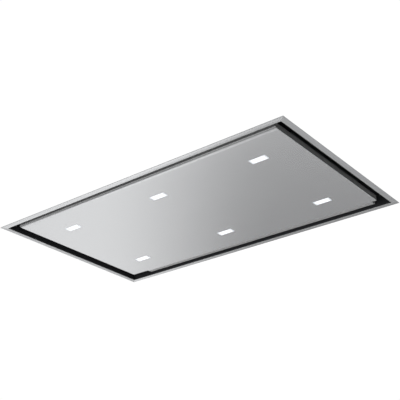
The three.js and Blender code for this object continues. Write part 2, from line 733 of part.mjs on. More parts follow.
function ductCollar() {
  const { width, thickness } = COLLAR_FLANGE;
  const flange = rod("x", DUCT_R + width, [0, thickness], [0, 0], 48);
  const tube = rod("x", DUCT_R, [0, DUCT_LENGTH], [0, 0], 48);
  const bore = rod("x", DUCT_R - COLLAR_WALL, THROUGH, [0, 0], 48);
  const spindleHoles = rod("z", SPINDLE_R + GAP, THROUGH, [SPINDLE_FROM_FLANGE, 0], 16);
  return cut(join(flange, tube), bore, spindleHoles);
}

// One half-round flap with its two knuckles; side +1 is the flap towards +Y.
function damperFlap(side) {
  const disc = rod("x", FLAP_R, [-FLAP_HALF, FLAP_HALF], [0, 0], 48);
  const half = cut(disc, block(THROUGH, [THROUGH[0], FLAP_EDGE], THROUGH));
  const first = KNUCKLE.lowest + (side > 0 ? 0 : KNUCKLE.pitch);
  const knuckles = [first, first + 2 * KNUCKLE.pitch].flatMap((z) => [
    rod("z", KNUCKLE.radius, [z, z + KNUCKLE.length], [0, 0], 16),
    block([-FLAP_HALF, FLAP_HALF], [SPINDLE_R + 2 * GAP, FLAP_EDGE + 1], [z, z + KNUCKLE.length]),
  ]);
  const whole = cut(join(half, ...knuckles), rod("z", SPINDLE_R + GAP, THROUGH, [0, 0], 16));
  return side > 0 ? whole : whole.mirror([0, 1, 0]);
}

const outlet = new THREE.Group();
outlet.position.set(0, DUCT_Y, DUCT_Z);
upper.add(outlet);
add(outlet, "duct_collar", blackPlastic, ductCollar(), [COLLAR_X, 0, 0]);
const spindle = rod("z", SPINDLE_R, [-SPINDLE_HALF, SPINDLE_HALF], [0, 0], 16);
add(outlet, "damper_spindle", brightSteel, spindle, [SPINDLE_X, 0, 0]);
add(outlet, "damper_flap_left", blackPlastic, damperFlap(1), [SPINDLE_X, 0, 0]);
add(outlet, "damper_flap_right", blackPlastic, damperFlap(-1), [SPINDLE_X, 0, 0]);

// ---------------------------------------------------------------- electrics

const ELECTRICS = [200, 150]; // plan of the electronics box
const ELECTRICS_TOP = 52;
const ELECTRICS_WALL = 2.5;
const COVER = { steel: 1.6, skirt: 10 };
const GLAND = { x: -60, z: 26, thread: 7.6, bore: 4 }; // on the electronics box
const NUT = { radius: 11, y: [-8, -GAP] };
const LOCK_NUT = { radius: 10, y: [ELECTRICS_WALL + GAP, 8] };
const DOME = { radius: 9, y: [-18, -8] };
const DRIVER = { base: [190, 48], can: [160, 44], flange: 2, top: 32 };

function electronicsBox() {
  return cut(
    slab(...ELECTRICS, [0, ELECTRICS_TOP]),
    slab(...ELECTRICS.map((size) => size - 2 * ELECTRICS_WALL), [ELECTRICS_WALL, ELECTRICS_TOP + 1]),
    rod("y", GLAND.thread + 0.4, [THROUGH[0], 0], [GLAND.x, GLAND.z], 24),
  );
}

function electronicsCover() {
  const size = ELECTRICS.map((length) => length + 4);
  return join(slab(...size, [0, 2]), sleeve(...size, COVER.steel, [-COVER.skirt, 2]));
}

// The gland that the mains lead goes in by: a nut, a thread through the wall and a dome.
function cableGland() {
  const made = join(
    rod("y", GLAND.thread, [-14, 12], [0, 0], 24),
    rod("y", NUT.radius, NUT.y, [0, 0], 6),
    rod("y", LOCK_NUT.radius, LOCK_NUT.y, [0, 0], 6),
    rod("y", DOME.radius, DOME.y, [0, 0], 24),
  );
  return cut(made, rod("y", GLAND.bore, THROUGH, [0, 0], 24));
}

function ledDriver() {
  const { base, can, flange, top } = DRIVER;
  return join(slab(...base, [0, flange]), slab(...can, [flange - 1, top]));
}

const ELECTRICS_AT = [-410, 40];
const DRIVER_Y = -200; // from the electronics box

const electrics = new THREE.Group();
electrics.position.set(...ELECTRICS_AT, CABINET_TOP + GAP);
hood.add(electrics);
add(electrics, "electronics_box", galvanised, electronicsBox());
add(electrics, "electronics_cover", galvanised, electronicsCover(), [0, 0, ELECTRICS_TOP + GAP]);
const glandAt = [GLAND.x, -ELECTRICS[1] / 2, GLAND.z];
add(electrics, "cable_gland", blackPlastic, cableGland(), glandAt);
add(electrics, "led_driver", aluminium, ledDriver(), [0, DRIVER_Y, 0]);

export default hood;
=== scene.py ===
# A flush ceiling range hood, seen from below as it hangs over a kitchen, in metres with +Z up. The
# origin is the centre of its underside, +X runs along it, and the panel hinges on the +Y side.
# Pieces are drawn in millimetres, and add_piece turns them to metres.
import json
import math
from functools import partial

import bmesh
import bpy
from mathutils import Matrix, Vector


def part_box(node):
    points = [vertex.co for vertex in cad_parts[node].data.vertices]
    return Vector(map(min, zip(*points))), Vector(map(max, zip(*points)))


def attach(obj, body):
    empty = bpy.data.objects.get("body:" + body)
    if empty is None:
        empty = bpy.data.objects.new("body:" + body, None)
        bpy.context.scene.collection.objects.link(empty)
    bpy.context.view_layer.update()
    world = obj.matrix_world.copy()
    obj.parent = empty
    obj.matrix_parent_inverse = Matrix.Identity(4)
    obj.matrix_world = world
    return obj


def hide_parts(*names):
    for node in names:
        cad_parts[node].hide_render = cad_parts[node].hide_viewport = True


MM = 0.001
GAP = 0.3  # clearance between neighbouring pieces, in millimetres
SHEET = 1.5  # thickness of every folded sheet
SIDES = (-1, 1)
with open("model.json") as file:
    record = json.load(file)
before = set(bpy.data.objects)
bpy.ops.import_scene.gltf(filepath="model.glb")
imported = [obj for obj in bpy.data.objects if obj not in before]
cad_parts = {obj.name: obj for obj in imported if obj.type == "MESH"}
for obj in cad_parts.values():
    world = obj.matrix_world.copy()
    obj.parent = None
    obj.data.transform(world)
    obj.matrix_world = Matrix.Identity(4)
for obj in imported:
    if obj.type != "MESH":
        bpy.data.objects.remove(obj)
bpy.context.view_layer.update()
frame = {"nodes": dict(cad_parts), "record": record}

# ---------------- camera

CAMERA_AZIMUTH = 38.6  # degrees from -Y towards +X
CAMERA_ELEVATION = -26.2
CAMERA_TARGET = Vector((0.095, -0.084, 0.0))
CAMERA_DISTANCE = 2.780
CAMERA_LENS = 75.6


def add_camera():
    azimuth = math.radians(CAMERA_AZIMUTH)
    elevation = math.radians(CAMERA_ELEVATION)
    level = math.cos(elevation)
    back = Vector((math.sin(azimuth) * level, -math.cos(azimuth) * level, math.sin(elevation)))
    camera = bpy.data.objects.new("camera", bpy.data.cameras.new("camera"))
    camera.data.lens = CAMERA_LENS
    camera.data.sensor_width = 36
    camera.location = CAMERA_TARGET + back * CAMERA_DISTANCE
    camera.rotation_euler = (-back).to_track_quat("-Z", "Y").to_euler()
    bpy.context.scene.collection.objects.link(camera)
    bpy.context.scene.camera = camera


add_camera()

# ---------------- nodes and colours


def srgb(code):
    """An sRGB hex colour as the linear colour that the shaders take."""
    channels = [int(code[i : i + 2], 16) / 255 for i in (1, 3, 5)]
    linear = [c / 12.92 if c <= 0.04045 else ((c + 0.055) / 1.055) ** 2.4 for c in channels]
    return (*linear, 1.0)


def add_node(tree, kind, inputs=None, **settings):
    """Adds a node with its settings. inputs gives a value, or the socket or node that feeds it, for
    each socket by its name or number."""
    node = tree.nodes.new(kind)
    for name, value in settings.items():
        setattr(node, name, value)
    for key, value in (inputs or {}).items():
        if isinstance(value, bpy.types.Node):
            value = value.outputs[0]
        if isinstance(value, bpy.types.NodeSocket):
            tree.links.new(node.inputs[key], value)
        else:
            node.inputs[key].default_value = value
    return node


# ---------------- materials


def new_material(name, constants):
    """A material with these constants on its Principled shader."""
    material = bpy.data.materials.new(name)
    material.use_nodes = True
    for key, value in constants.items():
        material.node_tree.nodes["Principled BSDF"].inputs[key].default_value = value
    return material


def drive(material, sockets):
    """Feeds sockets to the inputs of these names on a material's Principled shader."""
    tree = material.node_tree
    for key, socket in sockets.items():
        tree.links.new(tree.nodes["Principled BSDF"].inputs[key], socket)


def grain(material, size_mm, detail=3.0):
    """Soft noise from 0 to 1 on object coordinates, with grains of this size along X, Y and Z."""
    node = partial(add_node, material.node_tree)
    place = node("ShaderNodeTexCoord").outputs["Object"]
    scale = [1 / (size * MM) for size in size_mm]
    scaled = node("ShaderNodeMapping", {"Vector": place, "Scale": scale})
    inputs = {"Vector": scaled, "Scale": 1.0, "Detail": detail}
    return node("ShaderNodeTexNoise", inputs).outputs["Fac"]


def vary(material, pattern, colours, roughness, bump_mm=0.0, strength=0.5):
    """Drives a material's colour and roughness, and its bump if any, by a 0 to 1 pattern, and
    returns it. Two patterns are mixed when they come as a tuple, after the second one's share."""
    node = partial(add_node, material.node_tree)
    if isinstance(pattern, tuple):
        share, first, second = pattern
        pattern = node("ShaderNodeMix", {0: share, 2: first, 3: second}).outputs[0]
    low, high = (srgb(code) for code in colours)
    colour = node("ShaderNodeMix", {0: pattern, 6: low, 7: high}, data_type="RGBA")
    limits = {"Value": pattern, "To Min": roughness[0], "To Max": roughness[1]}
    rough = node("ShaderNodeMapRange", limits)
    drive(material, {"Base Color": colour.outputs[2], "Roughness": rough.outputs[0]})
    if bump_mm:
        relief = {"Height": pattern, "Distance": bump_mm * MM, "Strength": strength}
        drive(material, {"Normal": node("ShaderNodeBump", relief).outputs[0]})
    return material


def brushed_stainless(name, along_x, roughness):
    """AISI 304 sheet, belt-brushed along one axis. It gives hair-fine streaks and reflections that
    stretch across the grain. Real grit lines are 0.1 mm apart; here they are 1.4 mm, to show."""
    material = new_material(name, {"Metallic": 0.84, "Anisotropic": 0.4})
    length, pitch = 420, 1.4
    streaks = grain(material, (length, pitch, pitch) if along_x else (pitch, length, pitch), 4.0)
    smudges = grain(material, (170, 120, 150))
    across = {1 if along_x else 0: 1.0}
    tangent = add_node(material.node_tree, "ShaderNodeCombineXYZ", across)
    drive(material, {"Tangent": tangent.outputs[0]})
    colours = ("#CBCCCE", "#D2D3D4")
    return vary(material, (0.35, streaks, smudges), colours, roughness, 0.0006)


def linished_stainless():
    """The panel's folded walls, ends and rear slope, linished by hand after folding: no grain left,
    and light scattered every way, so that they stay grey against the black gap."""
    material = new_material("linished_stainless", {"Metallic": 0.3})
    scuffs = grain(material, (9, 9, 3))
    return vary(material, scuffs, ("#C6C7C8", "#DADBDB"), (0.45, 0.60))


def galvanised_sheet():
    """Hot-dip galvanised steel sheet: zinc crystals 9 to 12 mm wide in slightly different greys,
    under a thin dull oxide that clouds over them."""
    material = new_material("galvanised_steel_sheet", {"Metallic": 0.9})
    node = partial(add_node, material.node_tree)
    place = node("ShaderNodeTexCoord").outputs["Object"]
    spangle = node("ShaderNodeTexVoronoi", {"Vector": place, "Scale": 1 / (11 * MM)})
    tint = node("ShaderNodeSeparateColor", {"Color": spangle.outputs["Color"]}).outputs[0]
    oxide = grain(material, (140, 140, 140), 4.0)
    return vary(material, (0.5, tint, oxide), ("#8E9497", "#C9CDCF"), (0.34, 0.54), 0.02, 0.3)


def powder_coat():
    """Black polyester powder coat on steel: satin, with orange peel about 2 mm across."""
    material = new_material("black_powder_coat", {"IOR": 1.5})
    peel = grain(material, (2, 2, 2), 2.0)
    dust = grain(material, (90, 90, 90), 4.0)
    return vary(material, (0.4, peel, dust), ("#2C2D30", "#424347"), (0.40, 0.56), 0.03, 0.4)


def rolled_aluminium():
    """Mill-finish aluminium strip: pale, with faint rolling lines along X, 2 mm apart."""
    material = new_material("rolled_aluminium", {"Metallic": 1.0})
    lines = grain(material, (260, 2, 2))
    return vary(material, lines, ("#B2B5B8", "#D6D8DA"), (0.30, 0.46), 0.01, 0.4)


def expanded_aluminium():
    """Aluminium foil mesh, slit and stretched: a painted highlight where strands twist, dull
    between.
    """
    material = new_material("expanded_aluminium", {"Metallic": 1.0})
    # random patches of painted highlight, standing for strands that catch the light
    painted_glints = grain(material, (5, 5, 5), 2.0)
    return vary(material, painted_glints, ("#94979A", "#D8DADC"), (0.28, 0.50))


def shaded_mesh():
    """The inner layers of a mesh pad as one block: dull aluminium darkened with painted shade."""
    material = new_material("mesh_layers_painted_shade", {"Metallic": 0.6})
    layers = grain(material, (6, 3, 3), 2.0)
    return vary(material, layers, ("#47484B", "#68696C"), (0.50, 0.70))


def cast_aluminium():
    """Die-cast aluminium: matt silver with a fine 1.2 mm grain and darker flow marks."""
    material = new_material("die_cast_aluminium", {"Metallic": 0.95})
    skin = grain(material, (1.2, 1.2, 1.2))
    flow = grain(material, (34, 12, 20))
    return vary(material, (0.5, skin, flow), ("#8F9295", "#BDBFC2"), (0.40, 0.60), 0.03, 0.4)


def moulded_nylon(name, dark, light):
    """Glass-filled nylon from a lightly eroded tool: matt, with a 1 mm texture and cloudy gloss."""
    material = new_material(name, {"IOR": 1.52})
    texture = grain(material, (1, 1, 1), 2.0)
    cloud = grain(material, (30, 30, 30))
    return vary(material, (0.5, texture, cloud), (dark, light), (0.40, 0.60), 0.02, 0.35)


def zinc_plated_steel():
    """Turned steel with bright zinc plating: a slight blue cast and fine turning marks."""
    material = new_material("zinc_plated_steel", {"Metallic": 1.0})
    marks = grain(material, (1.5, 1.5, 0.8), 2.0)
    return vary(material, marks, ("#A4A9AF", "#C6CACD"), (0.30, 0.44))


LED_STRENGTH = 1.1


def opal_acrylic():
    """Opal acrylic over a lit LED board: cool white, and softer towards the window's edge, as the
    piece's own glow attribute says."""
    constants = {"Base Color": srgb("#F2F5F8"), "Emission Strength": LED_STRENGTH}
    material = new_material("opal_acrylic_lit", constants)
    node = partial(add_node, material.node_tree)
    glow = node("ShaderNodeAttribute", attribute_name="glow").outputs["Fac"]
    ends = {6: srgb("#9AA1A8"), 7: srgb("#FCFDFF")}  # the window's edge and its middle
    light = node("ShaderNodeMix", {0: glow, **ends}, data_type="RGBA")
    haze = {"Value": grain(material, (4, 4, 4), 2.0), "To Min": 0.30, "To Max": 0.42}
    rough = node("ShaderNodeMapRange", haze)
    drive(material, {"Emission Color": light.outputs[2], "Roughness": rough.outputs[0]})
    return material


STAINLESS_X = brushed_stainless("brushed_stainless_along_x", True, (0.20, 0.28))
STAINLESS_Y = brushed_stainless("brushed_stainless_along_y", False, (0.42, 0.52))
LINISHED = linished_stainless()
EXPANDED_MESH = expanded_aluminium()
# painted shade: the dark material of the pads' inner block, for the shadow between their layers
PAD_CORE_PAINTED_SHADE = shaded_mesh()
MATERIAL_OF_SLOT = {
    "brushed_stainless": STAINLESS_X,
    "galvanised_steel": galvanised_sheet(),
    "black_powder_coat": powder_coat(),
    "filter_aluminium": rolled_aluminium(),
    "lamp_aluminium": cast_aluminium(),
    "opal_diffuser": opal_acrylic(),
    "black_plastic": moulded_nylon("black_glass_filled_nylon", "#17181A", "#27282B"),
    "grey_plastic": moulded_nylon("grey_glass_filled_nylon", "#777B80", "#92969B"),
    "bright_steel": zinc_plated_steel(),
}

# ---------------- mesh tools

SHARP = math.radians(35)  # edges that fold more than this get a radius and stay crisp
SLOT_OF_NODE = {part["node"]: part["material_slot"] for part in frame["record"]["subparts"]}
BODY_OF_NODE = {
    node: body
    for body, members in frame["record"]["behaviour"]["bodies"].items()
    for node in members
}


def size_of(node):
    """Lowest and highest corner of a CAD node, in millimetres."""
    low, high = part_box(node)
    return low / MM, high / MM


def centre_of(node):
    low, high = size_of(node)
    return (low + high) / 2


def copy_of(node):
    """A CAD node's mesh in millimetres, with shared corners and its flat faces joined."""
    mesh = bmesh.new()
    mesh.from_mesh(frame["nodes"][node].data)
    bmesh.ops.scale(mesh, vec=(1 / MM,) * 3, verts=mesh.verts)
    bmesh.ops.remove_doubles(mesh, verts=mesh.verts, dist=0.002)
    flat = math.radians(0.5)
    bmesh.ops.dissolve_limit(mesh, angle_limit=flat, verts=mesh.verts, edges=mesh.edges)
    return mesh


def as_data(mesh, name):
    """Turns a bmesh into mesh data, and frees it."""
    data = bpy.data.meshes.new(name)
    mesh.to_mesh(data)
    mesh.free()
    return data


def is_sharp(edge):
    return len(edge.link_faces) == 2 and edge.calc_face_angle(0) > SHARP


def bevel(mesh, edges, radius, segments):
    shape = {"offset": radius, "segments": segments, "profile": 0.5, "clamp_overlap": True}
    bmesh.ops.bevel(mesh, geom=edges, affect="EDGES", **shape)


def round_edges(mesh, radius):
    """Gives every sharp edge of a mesh this radius, as far as there is room."""
    bevel(mesh, [edge for edge in mesh.edges if is_sharp(edge)], radius, 2)


def sheet_bends(mesh, radius):
    """Rounds the folds of a sheet part: the sharp edges between two faces that are both wide."""

    def width(face):
        return face.calc_area() / max(edge.calc_length() for edge in face.edges)

    folds = [e for e in mesh.edges if is_sharp(e) and min(map(width, e.link_faces)) > 4]
    bevel(mesh, folds, radius, 4)


def smooth_shading(data):
    """Smooth faces with crisp sharp edges, and normals that keep the flat faces flat."""
    mesh = bmesh.new()
    mesh.from_mesh(data)
    for face in mesh.faces:
        face.smooth = True
    for edge in mesh.edges:
        edge.smooth = len(edge.link_faces) == 2 and edge.calc_face_angle(0) < SHARP
    mesh.to_mesh(data)
    mesh.free()


def evaluated_mesh(data, set_up):
    """The mesh that a temporary object with this data has once set_up has given it modifiers."""
    helper = bpy.data.objects.new("helper", data)
    bpy.context.scene.collection.objects.link(helper)
    set_up(helper)
    bpy.context.view_layer.update()
    graph = bpy.context.evaluated_depsgraph_get()
    result = bpy.data.meshes.new_from_object(helper.evaluated_get(graph))
    bpy.data.objects.remove(helper)
    return result


def weighted_normals(helper):
    modifier = helper.modifiers.new("weighted_normals", "WEIGHTED_NORMAL")
    modifier.keep_sharp = True


def add_piece(name, mesh, body, slot, materials=None, radius=0.0, replaces=()):
    """Makes a mesh drawn in millimetres a finished piece, riding on a body. mesh is a bmesh, or mesh
    data that has its materials already. radius rounds its sharp edges."""
    if isinstance(mesh, bmesh.types.BMesh):
        if radius:
            round_edges(mesh, radius)
        data = as_data(mesh, name)
        for material in materials or [MATERIAL_OF_SLOT[slot]]:
            data.materials.append(material)
    else:
        data = mesh
    data.transform(Matrix.Scale(MM, 4))
    smooth_shading(data)
    finished = evaluated_mesh(data, weighted_normals)
    finished.name = name
    piece = bpy.data.objects.new(name, finished)
    bpy.context.scene.collection.objects.link(piece)
    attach(piece, body)
    if replaces:
        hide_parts(*replaces)


FINISHED = set()  # the CAD nodes that have a piece


def replace_node(node, mesh, name=None, radius=0.0, materials=None):
    """A piece that stands for one CAD node, on its body and with its slot."""
    FINISHED.add(node)
    body, slot = BODY_OF_NODE[node], SLOT_OF_NODE[node]
    add_piece(name or node + "_finished", mesh, body, slot, materials, radius, [node])


def bridge(mesh, rings, matrix=Matrix(), closed=False, material=None):
    """Joins rings of points with quads, ring to ring, and moves them by the matrix. closed joins the
    last to the first; an open stack is capped. material gives a face's slot from its place."""
    rows = [[mesh.verts.new(matrix @ Vector(point)) for point in ring] for ring in rings]
    count = len(rows[0])
    pairs = list(zip(rows, rows[1:])) + ([(rows[-1], rows[0])] if closed else [])
    faces = []
    for lower, upper in pairs:
        for i in range(count):
            j = (i + 1) % count
            face = mesh.faces.new((lower[i], lower[j], upper[j], upper[i]))
            face.material_index = material(i) if material else 0
            faces.append(face)
    if not closed:
        faces.append(mesh.faces.new(rows[0][::-1]))
        faces.append(mesh.faces.new(rows[-1]))
    return faces


def tidy(mesh):
    """Merges doubles and turns every face outwards."""
    bmesh.ops.remove_doubles(mesh, verts=mesh.verts, dist=0.001)
    bmesh.ops.recalc_face_normals(mesh, faces=mesh.faces)
    return mesh


def rectangle(half_x, half_y, z, radius=0.0, steps=5, centre=(0, 0)):
    """A ring round a rectangle at height z, anticlockwise from +X +Y, with round corners if any."""
    ring = []
    for turn, (sx, sy) in enumerate(((1, 1), (-1, 1), (-1, -1), (1, -1))):
        for step in range(steps + 1) if radius else [0]:
            angle = math.pi / 2 * (turn + step / steps)
            x = sx * (half_x - radius) + radius * math.cos(angle)
            y = sy * (half_y - radius) + radius * math.sin(angle)
            ring.append((centre[0] + x, centre[1] + y, z))
    return ring


def circle(radius, z, sides):
    angles = [2 * math.pi * i / sides for i in range(sides)]
    return [(radius * math.cos(a), radius * math.sin(a), z) for a in angles]


def arc(centre, radius, start, end, steps):
    """Points on an arc, from a start to an end angle in degrees."""
    angles = [math.radians(start + (end - start) * i / steps) for i in range(steps + 1)]
    return [(centre[0] + radius * math.cos(a), centre[1] + radius * math.sin(a)) for a in angles]


def block(mesh, x, y, z):
    """A box from its low and high value on each axis."""
    (x0, x1), (y0, y1), (z0, z1) = x, y, z
    outline = [(y0, z0), (y1, z0), (y1, z1), (y0, z1)]
    return bar_along_x(mesh, outline, x0, x1)


def bar_along_x(mesh, outline, low, high):
    """A bar with this outline in Y and Z, from a low to a high X."""
    return bridge(mesh, [[(x, y, z) for y, z in outline] for x in (low, high)])


def on_face(point, way):
    """Puts a shape drawn upwards from the origin on a face that looks this way."""
    turn = Vector(way).to_track_quat("Z", "Y").to_matrix().to_4x4()
    return Matrix.Translation(point) @ turn


# ---------------- growing repeated things


def new_tree(name, sockets):
    """A Geometry Nodes tree with these named inputs; returns it, its input node and its output."""
    tree = bpy.data.node_groups.new(name, "GeometryNodeTree")
    tree.interface.new_socket("Geometry", in_out="INPUT", socket_type="NodeSocketGeometry")
    for label, kind in sockets.items():
        tree.interface.new_socket(label, in_out="INPUT", socket_type="NodeSocket" + kind)
    tree.interface.new_socket("Geometry", in_out="OUTPUT", socket_type="NodeSocketGeometry")
    return tree, tree.nodes.new("NodeGroupInput").outputs, tree.nodes.new("NodeGroupOutput")


def finish_tree(tree, result, material, points, instance, rotation):
    """Ends a tree: an instance at each point is made real and takes the tree's material."""
    inputs = {"Points": points, "Instance": instance, "Rotation": rotation}
    placed = add_node(tree, "GeometryNodeInstanceOnPoints", inputs)
    real = add_node(tree, "GeometryNodeRealizeInstances", {"Geometry": placed})
    inputs = {"Geometry": real, "Material": material}
    painted = add_node(tree, "GeometryNodeSetMaterial", inputs)
    tree.links.new(result.inputs[0], painted.outputs[0])
    return tree


def grow(tree, data, values):
    """The plain mesh that a tree makes of some mesh data, with its named inputs set."""
    names = {item.name: item.identifier for item in tree.interface.items_tree}

    def set_up(helper):
        modifier = helper.modifiers.new("grow", "NODES")
        modifier.node_group = tree
        for key, value in values.items():
            modifier[names[key]] = value

    grown = evaluated_mesh(data, set_up)
    grown.materials.clear()  # drops the empty slot that comes before the tree's own material
    grown.materials.append(values["Material"])
    grown.polygons.foreach_set("material_index", [0] * len(grown.polygons))
    return grown


def fastener_tree():
    """Puts one template at each point, its Z along the point's facing, turned at random."""
    sockets = {"Template": "Object", "Seed": "Int", "Material": "Material"}
    tree, given, result = new_tree("fasteners", sockets)
    node = partial(add_node, tree)
    fastener = node("GeometryNodeObjectInfo", {"Object": given["Template"]})
    way = {"Name": "facing"}
    facing = node("GeometryNodeInputNamedAttribute", way, data_type="FLOAT_VECTOR")
    vector = {"Vector": facing.outputs["Attribute"]}
    aligned = node("FunctionNodeAlignRotationToVector", vector, axis="Z")
    limits = {0: (0.0, 0.0, 0.0), 1: (0.0, 0.0, 2 * math.pi), "Seed": given["Seed"]}
    turn = node("FunctionNodeRandomValue", limits, data_type="FLOAT_VECTOR")
    spin = node("FunctionNodeEulerToRotation", {"Euler": turn.outputs["Value"]})
    turns = {"Rotation": aligned, "Rotate By": spin}
    rotation = node("FunctionNodeRotateRotation", turns, rotation_space="LOCAL")
    points, shape = given["Geometry"], fastener.outputs["Geometry"]
    return finish_tree(tree, result, given["Material"], points, shape, rotation)


def template(build):
    """A hidden object that holds one fastener, drawn in millimetres round the origin."""
    mesh = bmesh.new()
    build(mesh)
    return bpy.data.objects.new(build.__name__, as_data(tidy(mesh), build.__name__))


def hex_screw(mesh):
    """A 5.5 mm self-tapping screw: a round flange and a dished hexagon head."""
    flange = [(5.2, -0.8), (5.2, 0.5), (4.7, 0.9)]
    bridge(mesh, [circle(r, z, 16) for r, z in flange])
    head = [(4.0, 0.4), (4.0, 3.0), (3.5, 3.4), (2.4, 3.4), (1.9, 2.9)]
    bridge(mesh, [circle(r, z, 6) for r, z in head])


def pan_screw(mesh):
    """A small pan-head screw with a cross recess."""
    head = [(3.4, -0.6), (3.4, 0.4), (2.9, 1.3), (1.8, 1.9), (0.9, 2.05)]
    bridge(mesh, [circle(r, z, 16) for r, z in head])
    for turn in (0, 90):
        cross = Matrix.Rotation(math.radians(turn), 4, "Z")
        bar = [rectangle(1.6, 0.25, 1.9), rectangle(1.5, 0.2, 2.12)]
        bridge(mesh, bar, cross)


def rivet(mesh):
    """A pop rivet's domed head, with the mark of its drawn pin."""
    head = [(2.9, -0.5), (2.9, 0.2), (2.4, 0.8), (1.5, 1.2), (0.9, 1.25), (0.75, 0.9)]
    bridge(mesh, [circle(r, z, 14) for r, z in head])


def centred_line(node, count, axis, step):
    """Points along an axis, one step apart and centred on the origin."""
    gaps = node("ShaderNodeMath", {0: count, 1: 1.0}, operation="SUBTRACT")
    length = node("ShaderNodeMath", {0: gaps, 1: step}, operation="MULTIPLY")
    back = node("ShaderNodeMath", {0: length, 1: -0.5}, operation="MULTIPLY")
    start, offset = (node("ShaderNodeCombineXYZ", {axis: value}) for value in (back, step))
    return node("GeometryNodeMeshLine", {"Count": count, "Start Location": start, "Offset": offset})


def expanded_tree():
    """Rows of zigzag strands that meet at their bends, as in a sheet that is slit and stretched."""
    sizes = ("Step", "Pitch", "Strand width", "Strand thickness")
    sockets = {"Rows": "Int", "Steps": "Int", **dict.fromkeys(sizes, "Float")}
    sockets["Material"] = "Material"
    tree, given, result = new_tree("expanded_mesh", sockets)
    node = partial(add_node, tree)
    step, pitch = given["Step"], given["Pitch"]
    index = node("GeometryNodeInputIndex")
    odd = node("ShaderNodeMath", {0: index, 1: 2.0}, operation="MODULO")

    count = node("ShaderNodeMath", {0: given["Steps"], 1: 1.0}, operation="ADD")
    line = centred_line(node, count, "X", step)
    swing = node("ShaderNodeMath", {0: odd, 1: 0.5}, operation="SUBTRACT")
    sideways = node("ShaderNodeMath", {0: swing, 1: pitch}, operation="MULTIPLY")
    shift = node("ShaderNodeCombineXYZ", {"Y": sideways})
    zigzag = node("GeometryNodeSetPosition", {"Geometry": line, "Offset": shift})
    path = node("GeometryNodeMeshToCurve", {"Mesh": zigzag})
    strip = {"Width": given["Strand thickness"], "Height": given["Strand width"]}
    profile = node("GeometryNodeCurvePrimitiveQuadrilateral", strip)
    sweep = {"Curve": path, "Profile Curve": profile, "Fill Caps": True}
    strand = node("GeometryNodeCurveToMesh", sweep)

    rows = centred_line(node, given["Rows"], "Y", pitch)
    half_turn = node("ShaderNodeMath", {0: odd, 1: math.pi}, operation="MULTIPLY")
    angles = node("ShaderNodeCombineXYZ", {"Z": half_turn})
    rotation = node("FunctionNodeEulerToRotation", {"Euler": angles})
    return finish_tree(tree, result, given["Material"], rows, strand, rotation)


FASTENERS = fastener_tree()
EXPANDED = expanded_tree()
HEX_SCREW, PAN_SCREW, RIVET = TEMPLATES = [template(b) for b in (hex_screw, pan_screw, rivet)]


def add_fasteners(name, kind, places, body, slot="bright_steel", seed=1):
    """One piece of all the fasteners of a kind on a body; places gives (point, facing) pairs."""
    data = bpy.data.meshes.new(name + "_points")
    data.from_pydata([Vector(point) for point, _ in places], [], [])
    facing = data.attributes.new("facing", "FLOAT_VECTOR", "POINT")
    facing.data.foreach_set("vector", [c for _, way in places for c in way])
    inputs = {"Template": kind, "Seed": seed, "Material": MATERIAL_OF_SLOT[slot]}
    add_piece(name, grow(FASTENERS, data, inputs), body, slot)


UP, DOWN, EAST, WEST = (0, 0, 1), (0, 0, -1), (1, 0, 0), (-1, 0, 0)

# ---------------- trim frame and panel

FRAME_HIGH = size_of("ceiling_frame")[1]
TRAY_LOW, TRAY_HIGH = size_of("suction_tray")
TRAY_PLATE = TRAY_HIGH.z - SHEET  # underside of the plate that carries the filters
OPENING = (TRAY_HIGH.x + GAP, TRAY_HIGH.y + GAP)  # half sizes of the trim frame's opening
FLANGE = FRAME_HIGH.x - OPENING[0]
FOLD = 9.5  # where the flange starts to lean back to the ceiling, from the opening
LEAN = 0.6  # how far its outer edge leans back
LIP_BEND = 0.8  # outer radius of the fold round the opening
HEM_TOP, HEM_WIDTH = 3.0, 8.0


def trim_frame():
    """The stainless frame on the ceiling: a lip inside, a flange in two faint planes, and a hem
    folded back round its outer edge. Its legs are mitred, each brushed along its length."""
    lip_top = FRAME_HIGH.z
    hem = (HEM_TOP - LEAN) / 2
    section = [(0.3, lip_top), (0, lip_top - 0.3)]
    section += arc((LIP_BEND, LIP_BEND), LIP_BEND, 180, 270, 5)
    section += [(FOLD - 1, 0), (FOLD, 0.03), (FOLD + 1, 0.09)]
    section += arc((FLANGE - hem, LEAN + hem), hem, 270, 450, 8)
    section += [(FLANGE - HEM_WIDTH, HEM_TOP), (FLANGE - HEM_WIDTH, SHEET)]
    section += [(SHEET, SHEET), (SHEET, lip_top - 0.3), (SHEET - 0.3, lip_top)]
    mesh = bmesh.new()
    rings = [rectangle(OPENING[0] + out, OPENING[1] + out, z) for out, z in section]
    for face in bridge(mesh, rings, closed=True, material=lambda side: side % 2):
        x, y, _ = face.calc_center_median()
        if abs(x) <= OPENING[0] and abs(y) <= OPENING[1]:
            face.material_index = 0  # the lip's inner face keeps the coil's bright finish
    replace_node("ceiling_frame", tidy(mesh), "trim_frame", materials=[STAINLESS_X, STAINLESS_Y])


PANEL_LOW, PANEL_HIGH = size_of("perimeter_panel")
PANEL_Z = PANEL_LOW.z
PANEL_FLOOR = PANEL_Z + SHEET  # the sheet's upper face
# how far each long edge reaches past the flat, its slope, its last bend and its wall's top
FRONT_EDGE = {"reach": 14.0, "degrees": 18.0, "bend": 4.8, "top": PANEL_HIGH.z}
REAR_EDGE = {"reach": 20.5, "degrees": 6.0, "bend": 2.4, "top": PANEL_HIGH.z - 5}
FIRST_RADIUS = 34.0  # of the gentle bend where the slope begins
FLAT_Y = PANEL_HIGH.y - FRONT_EDGE["reach"]
REAR_RELIEF = {"left": 76.0, "right": 18.0, "depth": 4.0}  # cut off the rear edge's two corners
END_BEND = 1.6
STEEP = -0.4  # a face whose normal points down less than this belongs to a wall or an end
LAMP_NODES = [f"led_lens_{n}" for n in range(1, 7)]
WINDOW = (30.3, 12.8)  # half sizes of a lamp's window


